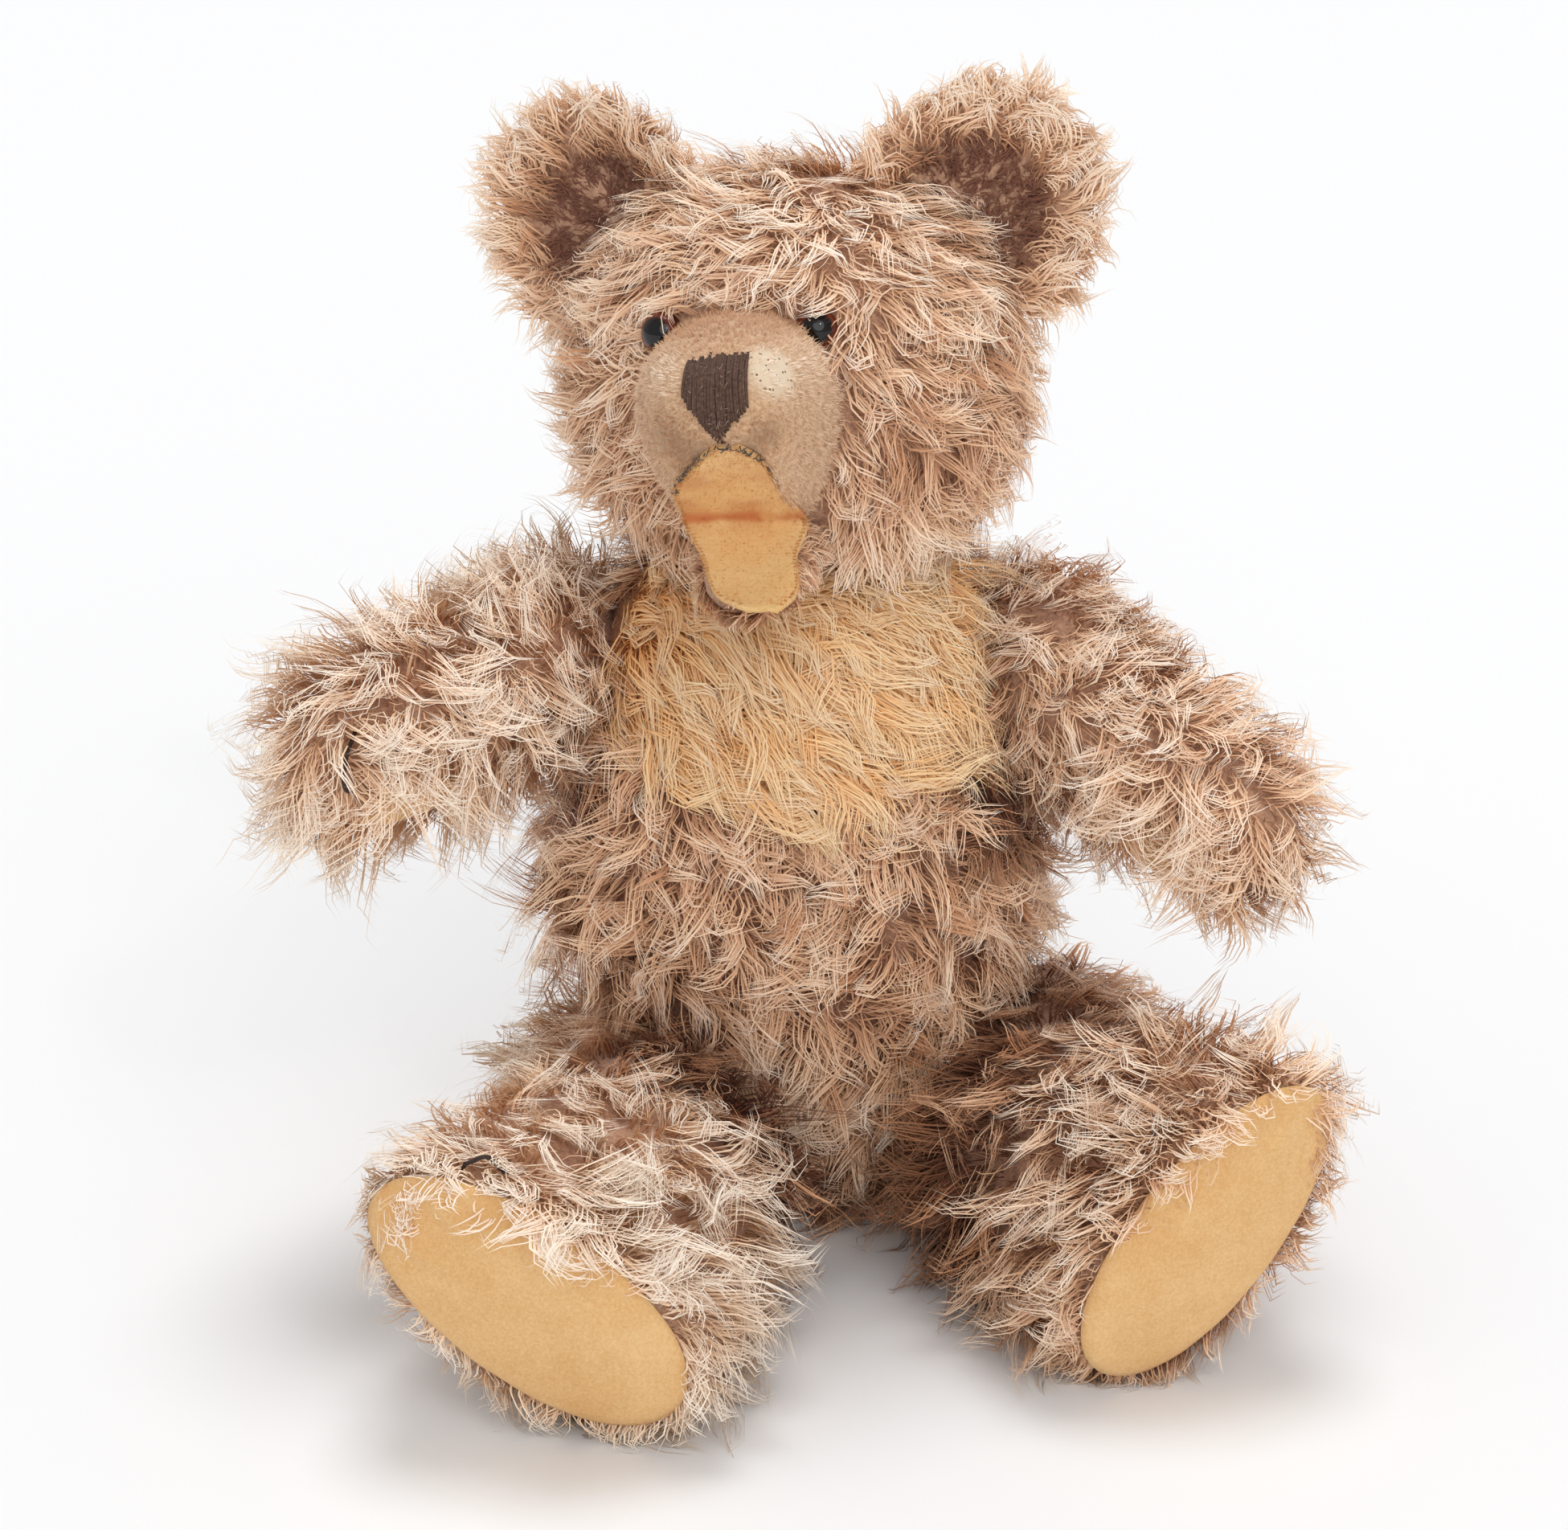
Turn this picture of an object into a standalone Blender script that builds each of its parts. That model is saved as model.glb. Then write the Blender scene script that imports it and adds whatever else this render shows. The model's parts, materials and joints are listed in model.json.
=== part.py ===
"""Jointed mohair teddy bear, sitting: sewn cloth skins over firm stuffing, held by five disc joints.

Blender 4.5, metres, +Z up. The bear faces -Y and sits on z = 0. Left and right are the bear's own,
so its left side is at +X. Lengths in the tables below are millimetres and go through mm().
"""

import math

import bmesh
import bpy
from mathutils import Matrix, Vector

# Cloth and joint hardware, in millimetres
CLOTH = 1.6  # mohair backing with its matted under-pile
FELT = 1.6  # soles, paw pads and mouth lining
GAP = 0.3  # between pieces that touch
DISC_THICK = 2.0
WASHER_THICK = 0.6
WASHER_RADIUS = 6.0
PIN_HOLE_RADIUS = 2.0
SKIN_HOLE_RADIUS = 2.6
WIRE_RADIUS = 0.55
PIN_ROOM = 11.5  # how far a pin's bent end reaches from the middle of its joint
DISC_SIDES = 12
CAGE_SIDES = 8  # points round a ring before it is rounded
SPACE = 300.0  # edge of the blocks that cut a form off at a plane

# Head frame: the face looks up and to the bear's right
HEAD_CENTRE = (2.5, -3, 190)
HEAD_TURN = -12.0
HEAD_LIFT = -10.0
HEAD_ROLL = -4.5  # the left ear rides a little higher

# Joints: a point in the middle of the gap, the axis towards the limb, the disc and socket radius
NECK = ((2, 1, 150), (0, 0, 1), 15.0)
SHOULDERS = {
    "right": ((-36, -2, 122.5), (-1, 0, 0), 10.5),
    "left": ((40, -2, 122.5), (1, 0, 0), 10.5),
}
HIP_TILT = 10.0  # degrees that the hip axes point down
HIPS = {
    "right": ((-20.5, -9, 22.5), -1, 12.5),
    "left": ((38, -9, 24), 1, 12.5),
}
SHOULDER_SOCKET = 21.5
HIP_SOCKET = 31.5
SOCKET_FLARE = 60.0  # how much wider a socket is at its far end
SOCKET_DEPTH = 60.0

# Torso rings: height, middle x and y, half width and half depth
TORSO = (
    (-5, 9, 2, 20, 19),
    (8, 9, 1, 33, 29),
    (28, 7, -1, 43, 35),
    (54, 4, -3, 49, 42),
    (80, 2, -4, 51, 44),
    (104, 2, -2, 47, 40),
    (125, 2, -1, 45, 34),
    (143, 2, 0, 36, 29),
    (159, 2, 1, 20, 20),
)
BIB = ((3, -40, 129), 32, 25, 34)  # middle, half width, half height, reach along y

# Head rings in the head frame: height, middle y, half width and half depth
SKULL = (
    (-49, 3, 24, 22),
    (-35, 0, 37, 33),
    (-16, -1, 47, 39),
    (3, 0, 48, 41),
    (20, 1, 41, 38),
    (32, 3, 28, 28),
    (38, 4, 12, 13),
)
# Muzzle rings in the head frame: middle x, y and height, half width and half height
MUZZLE = (
    (-3.2, -18, -8, 21, 21),
    (-3.2, -33, -8, 22, 21),
    (-2.4, -47, -7.5, 21, 19.5),
    (-1.4, -60, -6, 18, 15.5),
    (-0.7, -69, -4.5, 13.5, 10.5),
    (-0.6, -74.5, -4, 6, 4.5),
)
# Lower jaw rings in the head frame: middle x, y and height, half width and half height
JAW = (
    (-2.5, -20, -36, 12, 7),
    (-1.5, -34, -37, 12.5, 7),
    (-1, -47, -40, 11, 6),
    (-0.5, -56, -43, 8.5, 4.5),
    (-0.5, -61, -45, 4, 2.5),
)
# Side view of the open mouth, y and height: lip, corner crease, jaw tip, then out in front
MOUTH = ((-70, -12), (-41.5, -30.5), (-66, -48.5), (-110, -60), (-110, 20))
# Felt lining, from the lip back to the crease and out along the jaw: x, y, height and half width
LINING = (
    (0, -65, -16.6, 10.0),
    (0, -59, -20.4, 12.4),
    (-0.2, -52, -24.9, 13.2),
    (-0.6, -46.5, -28.5, 12.6),
    (-0.8, -43.9, -30.6, 11.6),
    (-0.9, -46.5, -32.8, 11.0),
    (-0.8, -51.5, -36.6, 10.0),
    (-0.6, -57, -40.6, 9.6),
    (-0.5, -62.5, -44.8, 7.2),
)
LINING_COLUMNS = 7
EYE_MIDDLE = (-3.8, -37.3, 7.0)
EYE_SPREAD = 16.0
EYE_RADIUS = 4.4
EYE_WIRE_LENGTH = 14.0
NOSE = ((-7.2, 4.6), (7.2, 4.6), (7.0, -4.0), (1.0, -12.0), (-1.0, -12.0), (-7.0, -4.0))
NOSE_THREAD = 1.3  # how proud the stitches stand
EAR_PLACE = (37.5, 3.0, 27.5)
EAR_SIZE = (22.5, 4.0, 25.5)  # half width, half thickness, half height
EAR_LEAN = 40.0  # degrees that the ear leans outwards
EAR_TURN = 16.0  # degrees that the ear's cup turns outwards
EAR_CUP = 7.0  # how far the rim comes forward of the middle

# Limb rings: middle, half width across, half height and roll outwards in degrees
ARMS = {
    "right": (
        ((-48.5, 20, 124), 10, 10.5, 0),
        ((-48, 11, 123.5), 18, 18, 0),
        ((-49.5, -7, 123), 19.5, 18.5, 0),
        ((-63, -25, 121.5), 18.5, 17.5, 0),
        ((-78, -39, 119.5), 17.5, 17, 0),
        ((-89, -50, 117), 17, 16.5, 0),
        ((-96, -60, 115), 9.5, 9.5, 0),
    ),
    "left": (
        ((52, 20, 124), 10, 10.5, 0),
        ((51.5, 11, 123.5), 18, 18, 0),
        ((53.5, -6, 121.5), 19.5, 18.5, 0),
        ((66, -23, 115.5), 18.5, 18, 0),
        ((81, -36, 106.5), 17, 17, 0),
        ((94, -46, 98), 16, 16, 0),
        ((102, -53, 92), 9, 9, 0),
    ),
}
# Paw pads: the way the palm faces, the pad's middle, and its half length and half width
PADS = {
    "right": ((0.35, -0.45, -0.82), (-81, -46, 118), 13, 9),
    "left": ((-0.62, -0.36, -0.70), (84, -40, 104), 13, 9),
}
LEGS = {
    "right": (
        ((-36, 21, 21.5), 11, 13, 0),
        ((-35, 10, 21.5), 20, 21.5, 0),
        ((-35.5, -12, 21.5), 21.5, 23.5, 4),
        ((-37, -34, 22), 21.5, 24.5, 8),
        ((-33, -54, 25), 29, 27, 18),
        ((-33.5, -76, 27), 29, 29.5, 32),
        ((-40, -98, 29.5), 25.5, 34, 46),
        ((-47, -116, 32), 20.5, 37.5, 54),
        ((-53, -139, 34), 17.5, 36, 54),
        ((-56, -150, 35), 16, 33, 54),
    ),
    "left": (
        ((55.5, 21, 25), 12, 14, 0),
        ((54, 10, 24.5), 22, 23.5, 0),
        ((55.5, -10, 24.5), 25, 26.5, 4),
        ((59.5, -32, 25), 25, 27, 8),
        ((61, -51, 27), 27.5, 27.5, 18),
        ((72, -72, 29.5), 26, 32, 30),
        ((80.5, -88, 33), 20.5, 36.5, 37),
        ((86, -106, 35.5), 16.5, 37, 38),
        ((91, -122, 37), 14.5, 34, 38),
    ),
}
# Soles: a point on the sole's inner face and the way the sole faces
SOLES = {
    "right": ((-52, -127, 32.5), (-0.2, -0.97, -0.12)),
    "left": ((85, -101, 35.5), (0.35, -0.93, -0.1)),
}

MOHAIR = (0.52, 0.34, 0.22, 1)
GOLD_MOHAIR = (0.80, 0.47, 0.20, 1)
SHORT_PILE = (0.66, 0.49, 0.32, 1)
FELT_COLOUR = (0.80, 0.46, 0.16, 1)
MOUTH_COLOUR = (0.80, 0.42, 0.16, 1)
STUFFING = (0.70, 0.60, 0.42, 1)
HARDBOARD = (0.34, 0.22, 0.12, 1)
STEEL = (0.50, 0.50, 0.50, 1)
GLASS = (0.03, 0.015, 0.01, 1)
THREAD = (0.05, 0.025, 0.02, 1)


def mm(values):
    """A vector in metres from one in millimetres."""
    return Vector(values) / 1000


def clear_scene():
    """Removes every object, so that the script can be run again."""
    for thing in list(bpy.data.objects):
        bpy.data.objects.remove(thing, do_unlink=True)


def new_collection(name):
    """A collection linked under the scene."""
    made = bpy.data.collections.new(name)
    bpy.context.scene.collection.children.link(made)
    return made


def finish(name, colour, roughness, metallic=0.0):
    """A Principled material."""
    made = bpy.data.materials.new(name)
    made.use_nodes = True
    shader = made.node_tree.nodes["Principled BSDF"]
    shader.inputs["Base Color"].default_value = colour
    shader.inputs["Roughness"].default_value = roughness
    shader.inputs["Metallic"].default_value = metallic
    return made


def new_object(name, mesh, colour=None, roughness=0.9, metallic=0.0, parent=None):
    """A part with its own material, or a hidden cutter if it has no colour."""
    made = bpy.data.objects.new(name, mesh)
    if colour is None:
        cutters.objects.link(made)
        made.hide_render = True
        made.display_type = "WIRE"
    else:
        bear.objects.link(made)
        made.data.materials.append(finish(name, colour, roughness, metallic))
    if parent is not None:
        made.parent = parent
        made.matrix_parent_inverse = parent.matrix_basis.inverted()
    return made


def boolean(thing, other, operation="DIFFERENCE"):
    """Adds a Boolean modifier with the other object."""
    step = thing.modifiers.new(other.name, "BOOLEAN")
    step.operation = operation
    step.solver = "EXACT"
    step.object = other


def turned(direction, place=(0, 0, 0)):
    """The frame at a place in metres whose Z is the direction."""
    turn = Vector(direction).normalized().to_track_quat("Z", "Y").to_matrix().to_4x4()
    return Matrix.Translation(Vector(place)) @ turn


def mesh_from(bm, name, frame=None):
    """A mesh from a bmesh, moved by a frame, with its faces pointing out."""
    if frame is not None:
        bm.transform(frame)
    bm.normal_update()
    bmesh.ops.recalc_face_normals(bm, faces=bm.faces)
    mesh = bpy.data.meshes.new(name)
    bm.to_mesh(mesh)
    bm.free()
    return mesh


def ring_cage(name, rings, frame=None):
    """A closed cage through elliptical rings of (middle, half axis, half axis), in millimetres.

    The axes are lengthened by what a subdivided ring of this many points shrinks by.
    """
    swell = 3 / (2 + math.cos(2 * math.pi / CAGE_SIDES))
    bm = bmesh.new()
    loops = []
    for middle, across, up in rings:
        loop = []
        for i in range(CAGE_SIDES):
            angle = 2 * math.pi * i / CAGE_SIDES
            place = Vector(middle) + swell * (
                math.cos(angle) * Vector(across) + math.sin(angle) * Vector(up)
            )
            loop.append(bm.verts.new(place / 1000))
        loops.append(loop)
    for low, high in zip(loops, loops[1:]):
        for i in range(CAGE_SIDES):
            j = (i + 1) % CAGE_SIDES
            bm.faces.new((low[i], low[j], high[j], high[i]))
    bm.faces.new(loops[0])
    bm.faces.new(loops[-1])
    return mesh_from(bm, name, frame)


def limb_rings(table, side):
    """Rings square to the limb's own run, rolled outwards on the given side."""
    middles = [Vector(row[0]) for row in table]
    rings = []
    for i, (_, across, up, roll) in enumerate(table):
        run = (middles[min(i + 1, len(table) - 1)] - middles[max(i - 1, 0)]).normalized()
        upright = (Vector((0, 0, 1)) - run.z * run).normalized()
        outward = run.cross(upright) * (-side)
        if outward.x * side < 0:
            outward = -outward
        angle = math.radians(roll)
        toe = upright * math.cos(angle) + outward * math.sin(angle)
        flank = outward * math.cos(angle) - upright * math.sin(angle)
        rings.append((middles[i], flank * across, toe * up))
    return rings


def soften(thing, inset=0.0, levels=1):
    """Rounds a cage by subdivision, then moves its surface in by the inset, in millimetres."""
    step = thing.modifiers.new("round", "SUBSURF")
    step.levels = levels
    step.render_levels = levels
    step = thing.modifiers.new("facets", "TRIANGULATE")
    step.quad_method = "FIXED"
    if inset:
        step = thing.modifiers.new("inset", "DISPLACE")
        step.mid_level = 0.0
        step.strength = -inset / 1000


def cylinder(name, radius, low, high, frame, sides=32, squash=1.0, flare=0.0):
    """A cylinder cutter along the frame's Z from low to high, wider by the flare at its high end."""
    bm = bmesh.new()
    bmesh.ops.create_cone(
        bm,
        cap_ends=True,
        segments=sides,
        radius1=radius / 1000,
        radius2=(radius + flare) / 1000,
        depth=(high - low) / 1000,
    )
    bmesh.ops.scale(bm, vec=(1, squash, 1), verts=bm.verts)
    bmesh.ops.translate(bm, vec=(0, 0, (high + low) / 2000), verts=bm.verts)
    return new_object(name, mesh_from(bm, name, frame))


def block(name, place, direction, thick=SPACE):
    """A square cutter that starts at a plane through a place in millimetres, and is so thick."""
    bm = bmesh.new()
    bmesh.ops.create_cube(bm, size=1.0)
    bmesh.ops.translate(bm, vec=(0, 0, 0.5), verts=bm.verts)
    bmesh.ops.scale(bm, vec=mm((SPACE, SPACE, thick)), verts=bm.verts)
    return new_object(name, mesh_from(bm, name, turned(direction, mm(place))))


def prism(name, outline, depth, frame):
    """A flat outline of (x, y) in millimetres, made solid by depth along the frame's Z."""
    bm = bmesh.new()
    base = [bm.verts.new((x / 1000, y / 1000, 0)) for x, y in outline]
    face = bm.faces.new(base)
    top = bmesh.ops.extrude_face_region(bm, geom=[face])["geom"]
    lifted = [part for part in top if isinstance(part, bmesh.types.BMVert)]
    bmesh.ops.translate(bm, vec=(0, 0, depth / 1000), verts=lifted)
    return new_object(name, mesh_from(bm, name, frame))


def washer(name, inner, outer, low, high, frame, colour, metallic, parent):
    """A flat ring, turned from its section with a Screw modifier, from low to high on its axis."""
    bm = bmesh.new()
    section = ((outer, high), (outer, low), (inner, low), (inner, high))
    verts = [bm.verts.new((x / 1000, 0, z / 1000)) for x, z in section]
    for i in range(4):
        bm.edges.new((verts[i], verts[(i + 1) % 4]))
    mesh = bpy.data.meshes.new(name)
    bm.to_mesh(mesh)
    bm.free()
    made = new_object(name, mesh, colour, 0.6, metallic)
    turn = made.modifiers.new("turn", "SCREW")
    turn.angle = 2 * math.pi
    turn.steps = DISC_SIDES
    turn.render_steps = DISC_SIDES
    turn.use_merge_vertices = True
    turn.merge_threshold = 0.00001
    made.matrix_world = frame
    if parent is not None:
        made.parent = parent
        made.matrix_parent_inverse = parent.matrix_basis.inverted()
    return made


def cotter_pin(name, frame, parent):
    """A split pin: one bent wire with a round eye on the limb's side and two prongs rolled outwards."""
    prong = ((5.0, -6.4), (4.2, -7.8), (2.5, -8.1), (1.2, -7.0), (0.8, -5.2), (0.8, 0.0), (0.8, 5.2))
    eye = ((2.0, 6.8), (2.3, 8.4), (1.4, 9.8), (0.0, 10.3))
    half = prong + eye
    path = list(half) + [(-x, z) for x, z in reversed(half[:-1])]
    curve = bpy.data.curves.new(name, "CURVE")
    curve.dimensions = "3D"
    curve.bevel_depth = WIRE_RADIUS / 1000
    curve.bevel_resolution = 1
    curve.use_fill_caps = True
    spline = curve.splines.new("POLY")
    spline.points.add(len(path) - 1)
    for point, (x, z) in zip(spline.points, path):
        point.co = (x / 1000, 0, z / 1000, 1)
    made = new_object(name, curve, STEEL, 0.45, 1.0)
    made.matrix_world = frame
    made.parent = parent
    made.matrix_parent_inverse = parent.matrix_basis.inverted()
    return made


def joint_empty(name, frame):
    """The empty that a moving body hangs on, with its Z on the joint's axis."""
    made = bpy.data.objects.new(name, None)
    bear.objects.link(made)
    made.matrix_basis = frame
    return made


def disc_joint(name, place, axis, disc_radius, limb):
    """Both discs, both washers and the pin of one joint. Returns its frame."""
    frame = turned(axis, mm(place))
    disc = GAP + CLOTH + GAP
    ring = disc + DISC_THICK + GAP
    for owner, way, parent in (("body", -1, None), ("limb", 1, limb)):
        spans = (("disc", disc, DISC_THICK, disc_radius), ("washer", ring, WASHER_THICK, WASHER_RADIUS))
        for kind, start, thick, radius in spans:
            ends = sorted((way * start, way * (start + thick)))
            label = f"{name}_{kind}_{owner}_side"
            colour, metallic = (HARDBOARD, 0.0) if kind == "disc" else (STEEL, 1.0)
            washer(label, PIN_HOLE_RADIUS, radius, *ends, frame, colour, metallic, parent)
    cotter_pin(f"{name}_pin", frame, limb)
    return frame


def pocket(name, frame, disc_radius, way):
    """Room in the stuffing for one side of a joint: a wide step for the disc, a narrow one for the pin."""
    inner = GAP + CLOTH
    outer = inner + 3 * GAP + DISC_THICK + WASHER_THICK
    ends = sorted((0, way * outer))
    wide = cylinder(f"{name}_pocket", disc_radius + 2 * GAP, *ends, frame, 16)
    ends = sorted((0, way * PIN_ROOM))
    narrow = cylinder(f"{name}_pin_pocket", WASHER_RADIUS + GAP, *ends, frame, 12)
    return wide, narrow


def hip_axis(side):
    """The hip axis on one side, which points outwards and a little down."""
    tilt = math.radians(HIP_TILT)
    return (side * math.cos(tilt), 0, -math.sin(tilt))


def make_torso():
    """The torso's skin with its bib, its stuffing, and the sockets that the limbs turn in."""
    rings = [((x, y, z), (w, 0, 0), (0, d, 0)) for z, x, y, w, d in TORSO]
    sockets = [(f"{side}_shoulder", *SHOULDERS[side], SHOULDER_SOCKET) for side in SHOULDERS]
    for side, (place, sign, disc) in HIPS.items():
        sockets.append((f"{side}_hip", place, hip_axis(sign), disc, HIP_SOCKET))

    def form(name, inset, colour=None):
        made = new_object(name, ring_cage(name, rings), colour)
        soften(made, inset)
        for label, place, axis, _, radius in sockets:
            reach = turned(axis, mm(place))
            ends = (-GAP - inset, SOCKET_DEPTH)
            cut = cylinder(f"{name}_{label}_socket", radius + inset, *ends, reach, 20, 1.0, SOCKET_FLARE)
            boolean(made, cut)
        boolean(made, block(f"{name}_neck_end", (0, 0, NECK[0][2] - GAP - inset), (0, 0, 1)))
        boolean(made, block(f"{name}_seat", (0, 0, inset), (0, 0, -1)))
        return made

    skin = form("torso_skin", 0.0, MOHAIR)
    boolean(skin, form("torso_hollow", CLOTH))
    bib = form("chest_bib", 0.0, GOLD_MOHAIR)
    boolean(bib, form("bib_hollow", CLOTH))
    stuffing = form("torso_stuffing", CLOTH + GAP, STUFFING)
    middle, wide, high, reach = BIB
    facing = turned((0, -1, 0), mm(middle))
    for piece, margin, operation in ((skin, GAP, "DIFFERENCE"), (bib, 0.0, "INTERSECT")):
        window = cylinder(
            f"{piece.name}_window", wide + margin, -20, reach, facing, 28, (high + margin) / (wide + margin)
        )
        boolean(piece, window, operation)
    holes = [("neck", *NECK)] + [row[:4] for row in sockets]
    for label, place, axis, disc in holes:
        frame = turned(axis, mm(place))
        boolean(skin, cylinder(f"torso_{label}_hole", SKIN_HOLE_RADIUS, -CLOTH * 3, 9, frame, 12))
        for cut in pocket(f"torso_{label}", frame, disc, -1):
            boolean(stuffing, cut)


def make_head(neck):
    """Skull, muzzle and jaw skins, one stuffing for all three, and the face's own pieces."""
    frame = (
        Matrix.Translation(mm(HEAD_CENTRE))
        @ Matrix.Rotation(math.radians(HEAD_TURN), 4, "Z")
        @ Matrix.Rotation(math.radians(HEAD_LIFT), 4, "X")
        @ Matrix.Rotation(math.radians(HEAD_ROLL), 4, "Y")
    )
    skull = [((0, y, z), (w, 0, 0), (0, d, 0)) for z, y, w, d in SKULL]
    muzzle = [((x, y, z), (w, 0, 0), (0, 0, h)) for x, y, z, w, h in MUZZLE]
    jaw = [((x, y, z), (w, 0, 0), (0, 0, h)) for x, y, z, w, h in JAW]
    sideways = Matrix(((0, 0, 1, 0), (1, 0, 0, 0), (0, 1, 0, 0), (0, 0, 0, 1)))

    def mouth(name, margin):
        lip, crease, tip, low, high = MOUTH
        back = (crease[0] + 1.4 * margin, crease[1])
        over = (lip[0], lip[1] + margin)
        under = (tip[0], tip[1] - margin)
        shifted = Matrix.Translation((-0.04, 0, 0)) @ sideways
        return prism(name, (over, back, under, low, high), 80, frame @ shifted)

    def form(name, rings, inset, colour=None, open_mouth=True, closed=True):
        made = new_object(name, ring_cage(name, rings, frame), colour, parent=neck if colour else None)
        soften(made, inset)
        if closed:
            boolean(made, block(f"{name}_neck_end", (0, 0, NECK[0][2] + GAP + inset), (0, 0, -1)))
        if open_mouth:
            boolean(made, mouth(f"{name}_mouth", inset))
        return made

    head_skin = form("head_skin", skull, 0.0, MOHAIR, False)
    boolean(head_skin, form("skull_hollow", skull, CLOTH, None, False))
    muzzle_skin = form("muzzle_skin", muzzle, 0.0, SHORT_PILE, closed=False)
    boolean(muzzle_skin, form("muzzle_hollow", muzzle, CLOTH, closed=False))
    jaw_skin = form("jaw_skin", jaw, 0.0, MOHAIR, closed=False)
    boolean(jaw_skin, form("jaw_hollow", jaw, CLOTH, closed=False))
    skull_room = form("skull_room", skull, -GAP, None, False, False)
    boolean(muzzle_skin, skull_room)
    boolean(jaw_skin, skull_room)
    boolean(jaw_skin, form("muzzle_room", muzzle, -GAP, None, False, False))
    filled = CLOTH + GAP
    for label, rings in (("muzzle", muzzle), ("jaw", jaw)):
        boolean(head_skin, form(f"{label}_passage", rings, filled + 0.4, closed=False))

    stuffing = form("head_stuffing", skull, filled, STUFFING, False)
    for label, rings in (("muzzle", muzzle), ("jaw", jaw)):
        filling = form(f"{label}_filling", rings, filled + 0.7, closed=False)
        boolean(stuffing, filling, "UNION")

    place, axis, disc = NECK
    reach = turned(axis, mm(place))
    boolean(head_skin, cylinder("head_neck_hole", SKIN_HOLE_RADIUS, -9, CLOTH * 3, reach, 12))
    for cut in pocket("head_neck", reach, disc, 1):
        boolean(stuffing, cut)

    make_lining(frame, neck)
    make_nose(frame, neck, muzzle)
    for side, sign in (("right", -1), ("left", 1)):
        make_eye(side, sign, frame, neck, (head_skin, stuffing), skull_room, muzzle)
        make_ear(side, sign, frame, neck, skull_room)


def make_lining(frame, neck):
    """The mouth's felt: a strip that follows the palate, folds at the crease and runs along the jaw."""
    bm = bmesh.new()
    rows = []
    for x, y, z, wide in LINING:
        row = []
        for i in range(LINING_COLUMNS):
            across = 2 * i / (LINING_COLUMNS - 1) - 1
            row.append(bm.verts.new(mm((x + wide * across, y, z))))
        rows.append(row)
    for first, second in zip(rows, rows[1:]):
        for i in range(LINING_COLUMNS - 1):
            bm.faces.new((first[i], second[i], second[i + 1], first[i + 1]))
    bm.transform(frame)
    mesh = bpy.data.meshes.new("mouth_lining")
    bm.to_mesh(mesh)
    bm.free()
    made = new_object("mouth_lining", mesh, MOUTH_COLOUR, parent=neck)
    thick = made.modifiers.new("felt", "SOLIDIFY")
    thick.thickness = FELT / 1000
    thick.offset = 0.0


def make_nose(frame, neck, muzzle):
    """The nose: a pad of satin stitches on the tip of the muzzle."""
    made = new_object("nose_stitching", ring_cage("nose_stitching", muzzle, frame), THREAD, parent=neck)
    soften(made, -NOSE_THREAD)
    under = new_object("nose_under", ring_cage("nose_under", muzzle, frame))
    soften(under, -GAP)
    boolean(made, under)
    facing = Matrix.Translation(mm((0, -85, 0))) @ Matrix.Rotation(math.pi / 2, 4, "X")
    shield = prism("nose_outline", NOSE, -30, frame @ facing)
    boolean(made, shield, "INTERSECT")


def make_eye(side, sign, frame, neck, pierced, skull_room, muzzle):
    """A glass eye on the skin, with the wire loop that holds it into the stuffing."""
    x, y, z = EYE_MIDDLE
    place = frame @ mm((x + sign * EYE_SPREAD, y, z))
    inward = frame.to_3x3() @ Vector((-0.25 * sign, 1, -0.1)).normalized()
    bm = bmesh.new()
    bmesh.ops.create_uvsphere(bm, u_segments=14, v_segments=9, radius=EYE_RADIUS / 1000)
    name = f"{side}_eye"
    eye = new_object(name, mesh_from(bm, name, turned(inward, place)), GLASS, 0.05, parent=neck)
    boolean(eye, skull_room)
    clear = new_object(f"{name}_muzzle", ring_cage(f"{name}_muzzle", muzzle, frame))
    soften(clear, -GAP)
    boolean(eye, clear)
    shaft = turned(inward, place)
    sleeve = cylinder(f"{name}_channel", 1.2, 0, EYE_WIRE_LENGTH + 4, shaft, 12)
    socket = cylinder(f"{name}_hole", 1.2, 0, EYE_WIRE_LENGTH + 4, shaft, 12)
    for piece in pierced:
        boolean(piece, sleeve)
    boolean(eye, socket)
    bm = bmesh.new()
    bmesh.ops.create_cone(
        bm, cap_ends=True, segments=10, radius1=0.0008, radius2=0.0008, depth=EYE_WIRE_LENGTH / 1000
    )
    bmesh.ops.translate(bm, vec=(0, 0, (EYE_WIRE_LENGTH / 2 + 0.6) / 1000), verts=bm.verts)
    new_object(f"{name}_wire", mesh_from(bm, f"{name}_wire", shaft), STEEL, 0.4, 1.0, parent=neck)


def make_ear(side, sign, frame, neck, skull_room):
    """An ear: two layers of plush sewn round their edge, cupped forward, with the base on the skull."""
    wide, thick, high = EAR_SIZE
    bm = bmesh.new()
    bmesh.ops.create_uvsphere(bm, u_segments=18, v_segments=10, radius=1.0)
    for vert in bm.verts:
        x, y, z = vert.co.x, vert.co.y, vert.co.z
        rim = min(x * x + z * z, 1.0)
        vert.co = mm((wide * x, thick * y - EAR_CUP * rim, high * z))
    lean = Matrix.Rotation(math.radians(sign * EAR_LEAN), 4, "Y")
    turn = Matrix.Rotation(math.radians(sign * EAR_TURN), 4, "Z")
    x, y, z = EAR_PLACE
    place = Matrix.Translation(mm((sign * x, y, z)))
    name = f"{side}_ear"
    made = new_object(name, mesh_from(bm, name, frame @ place @ turn @ lean), MOHAIR, parent=neck)
    boolean(made, skull_room)


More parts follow.
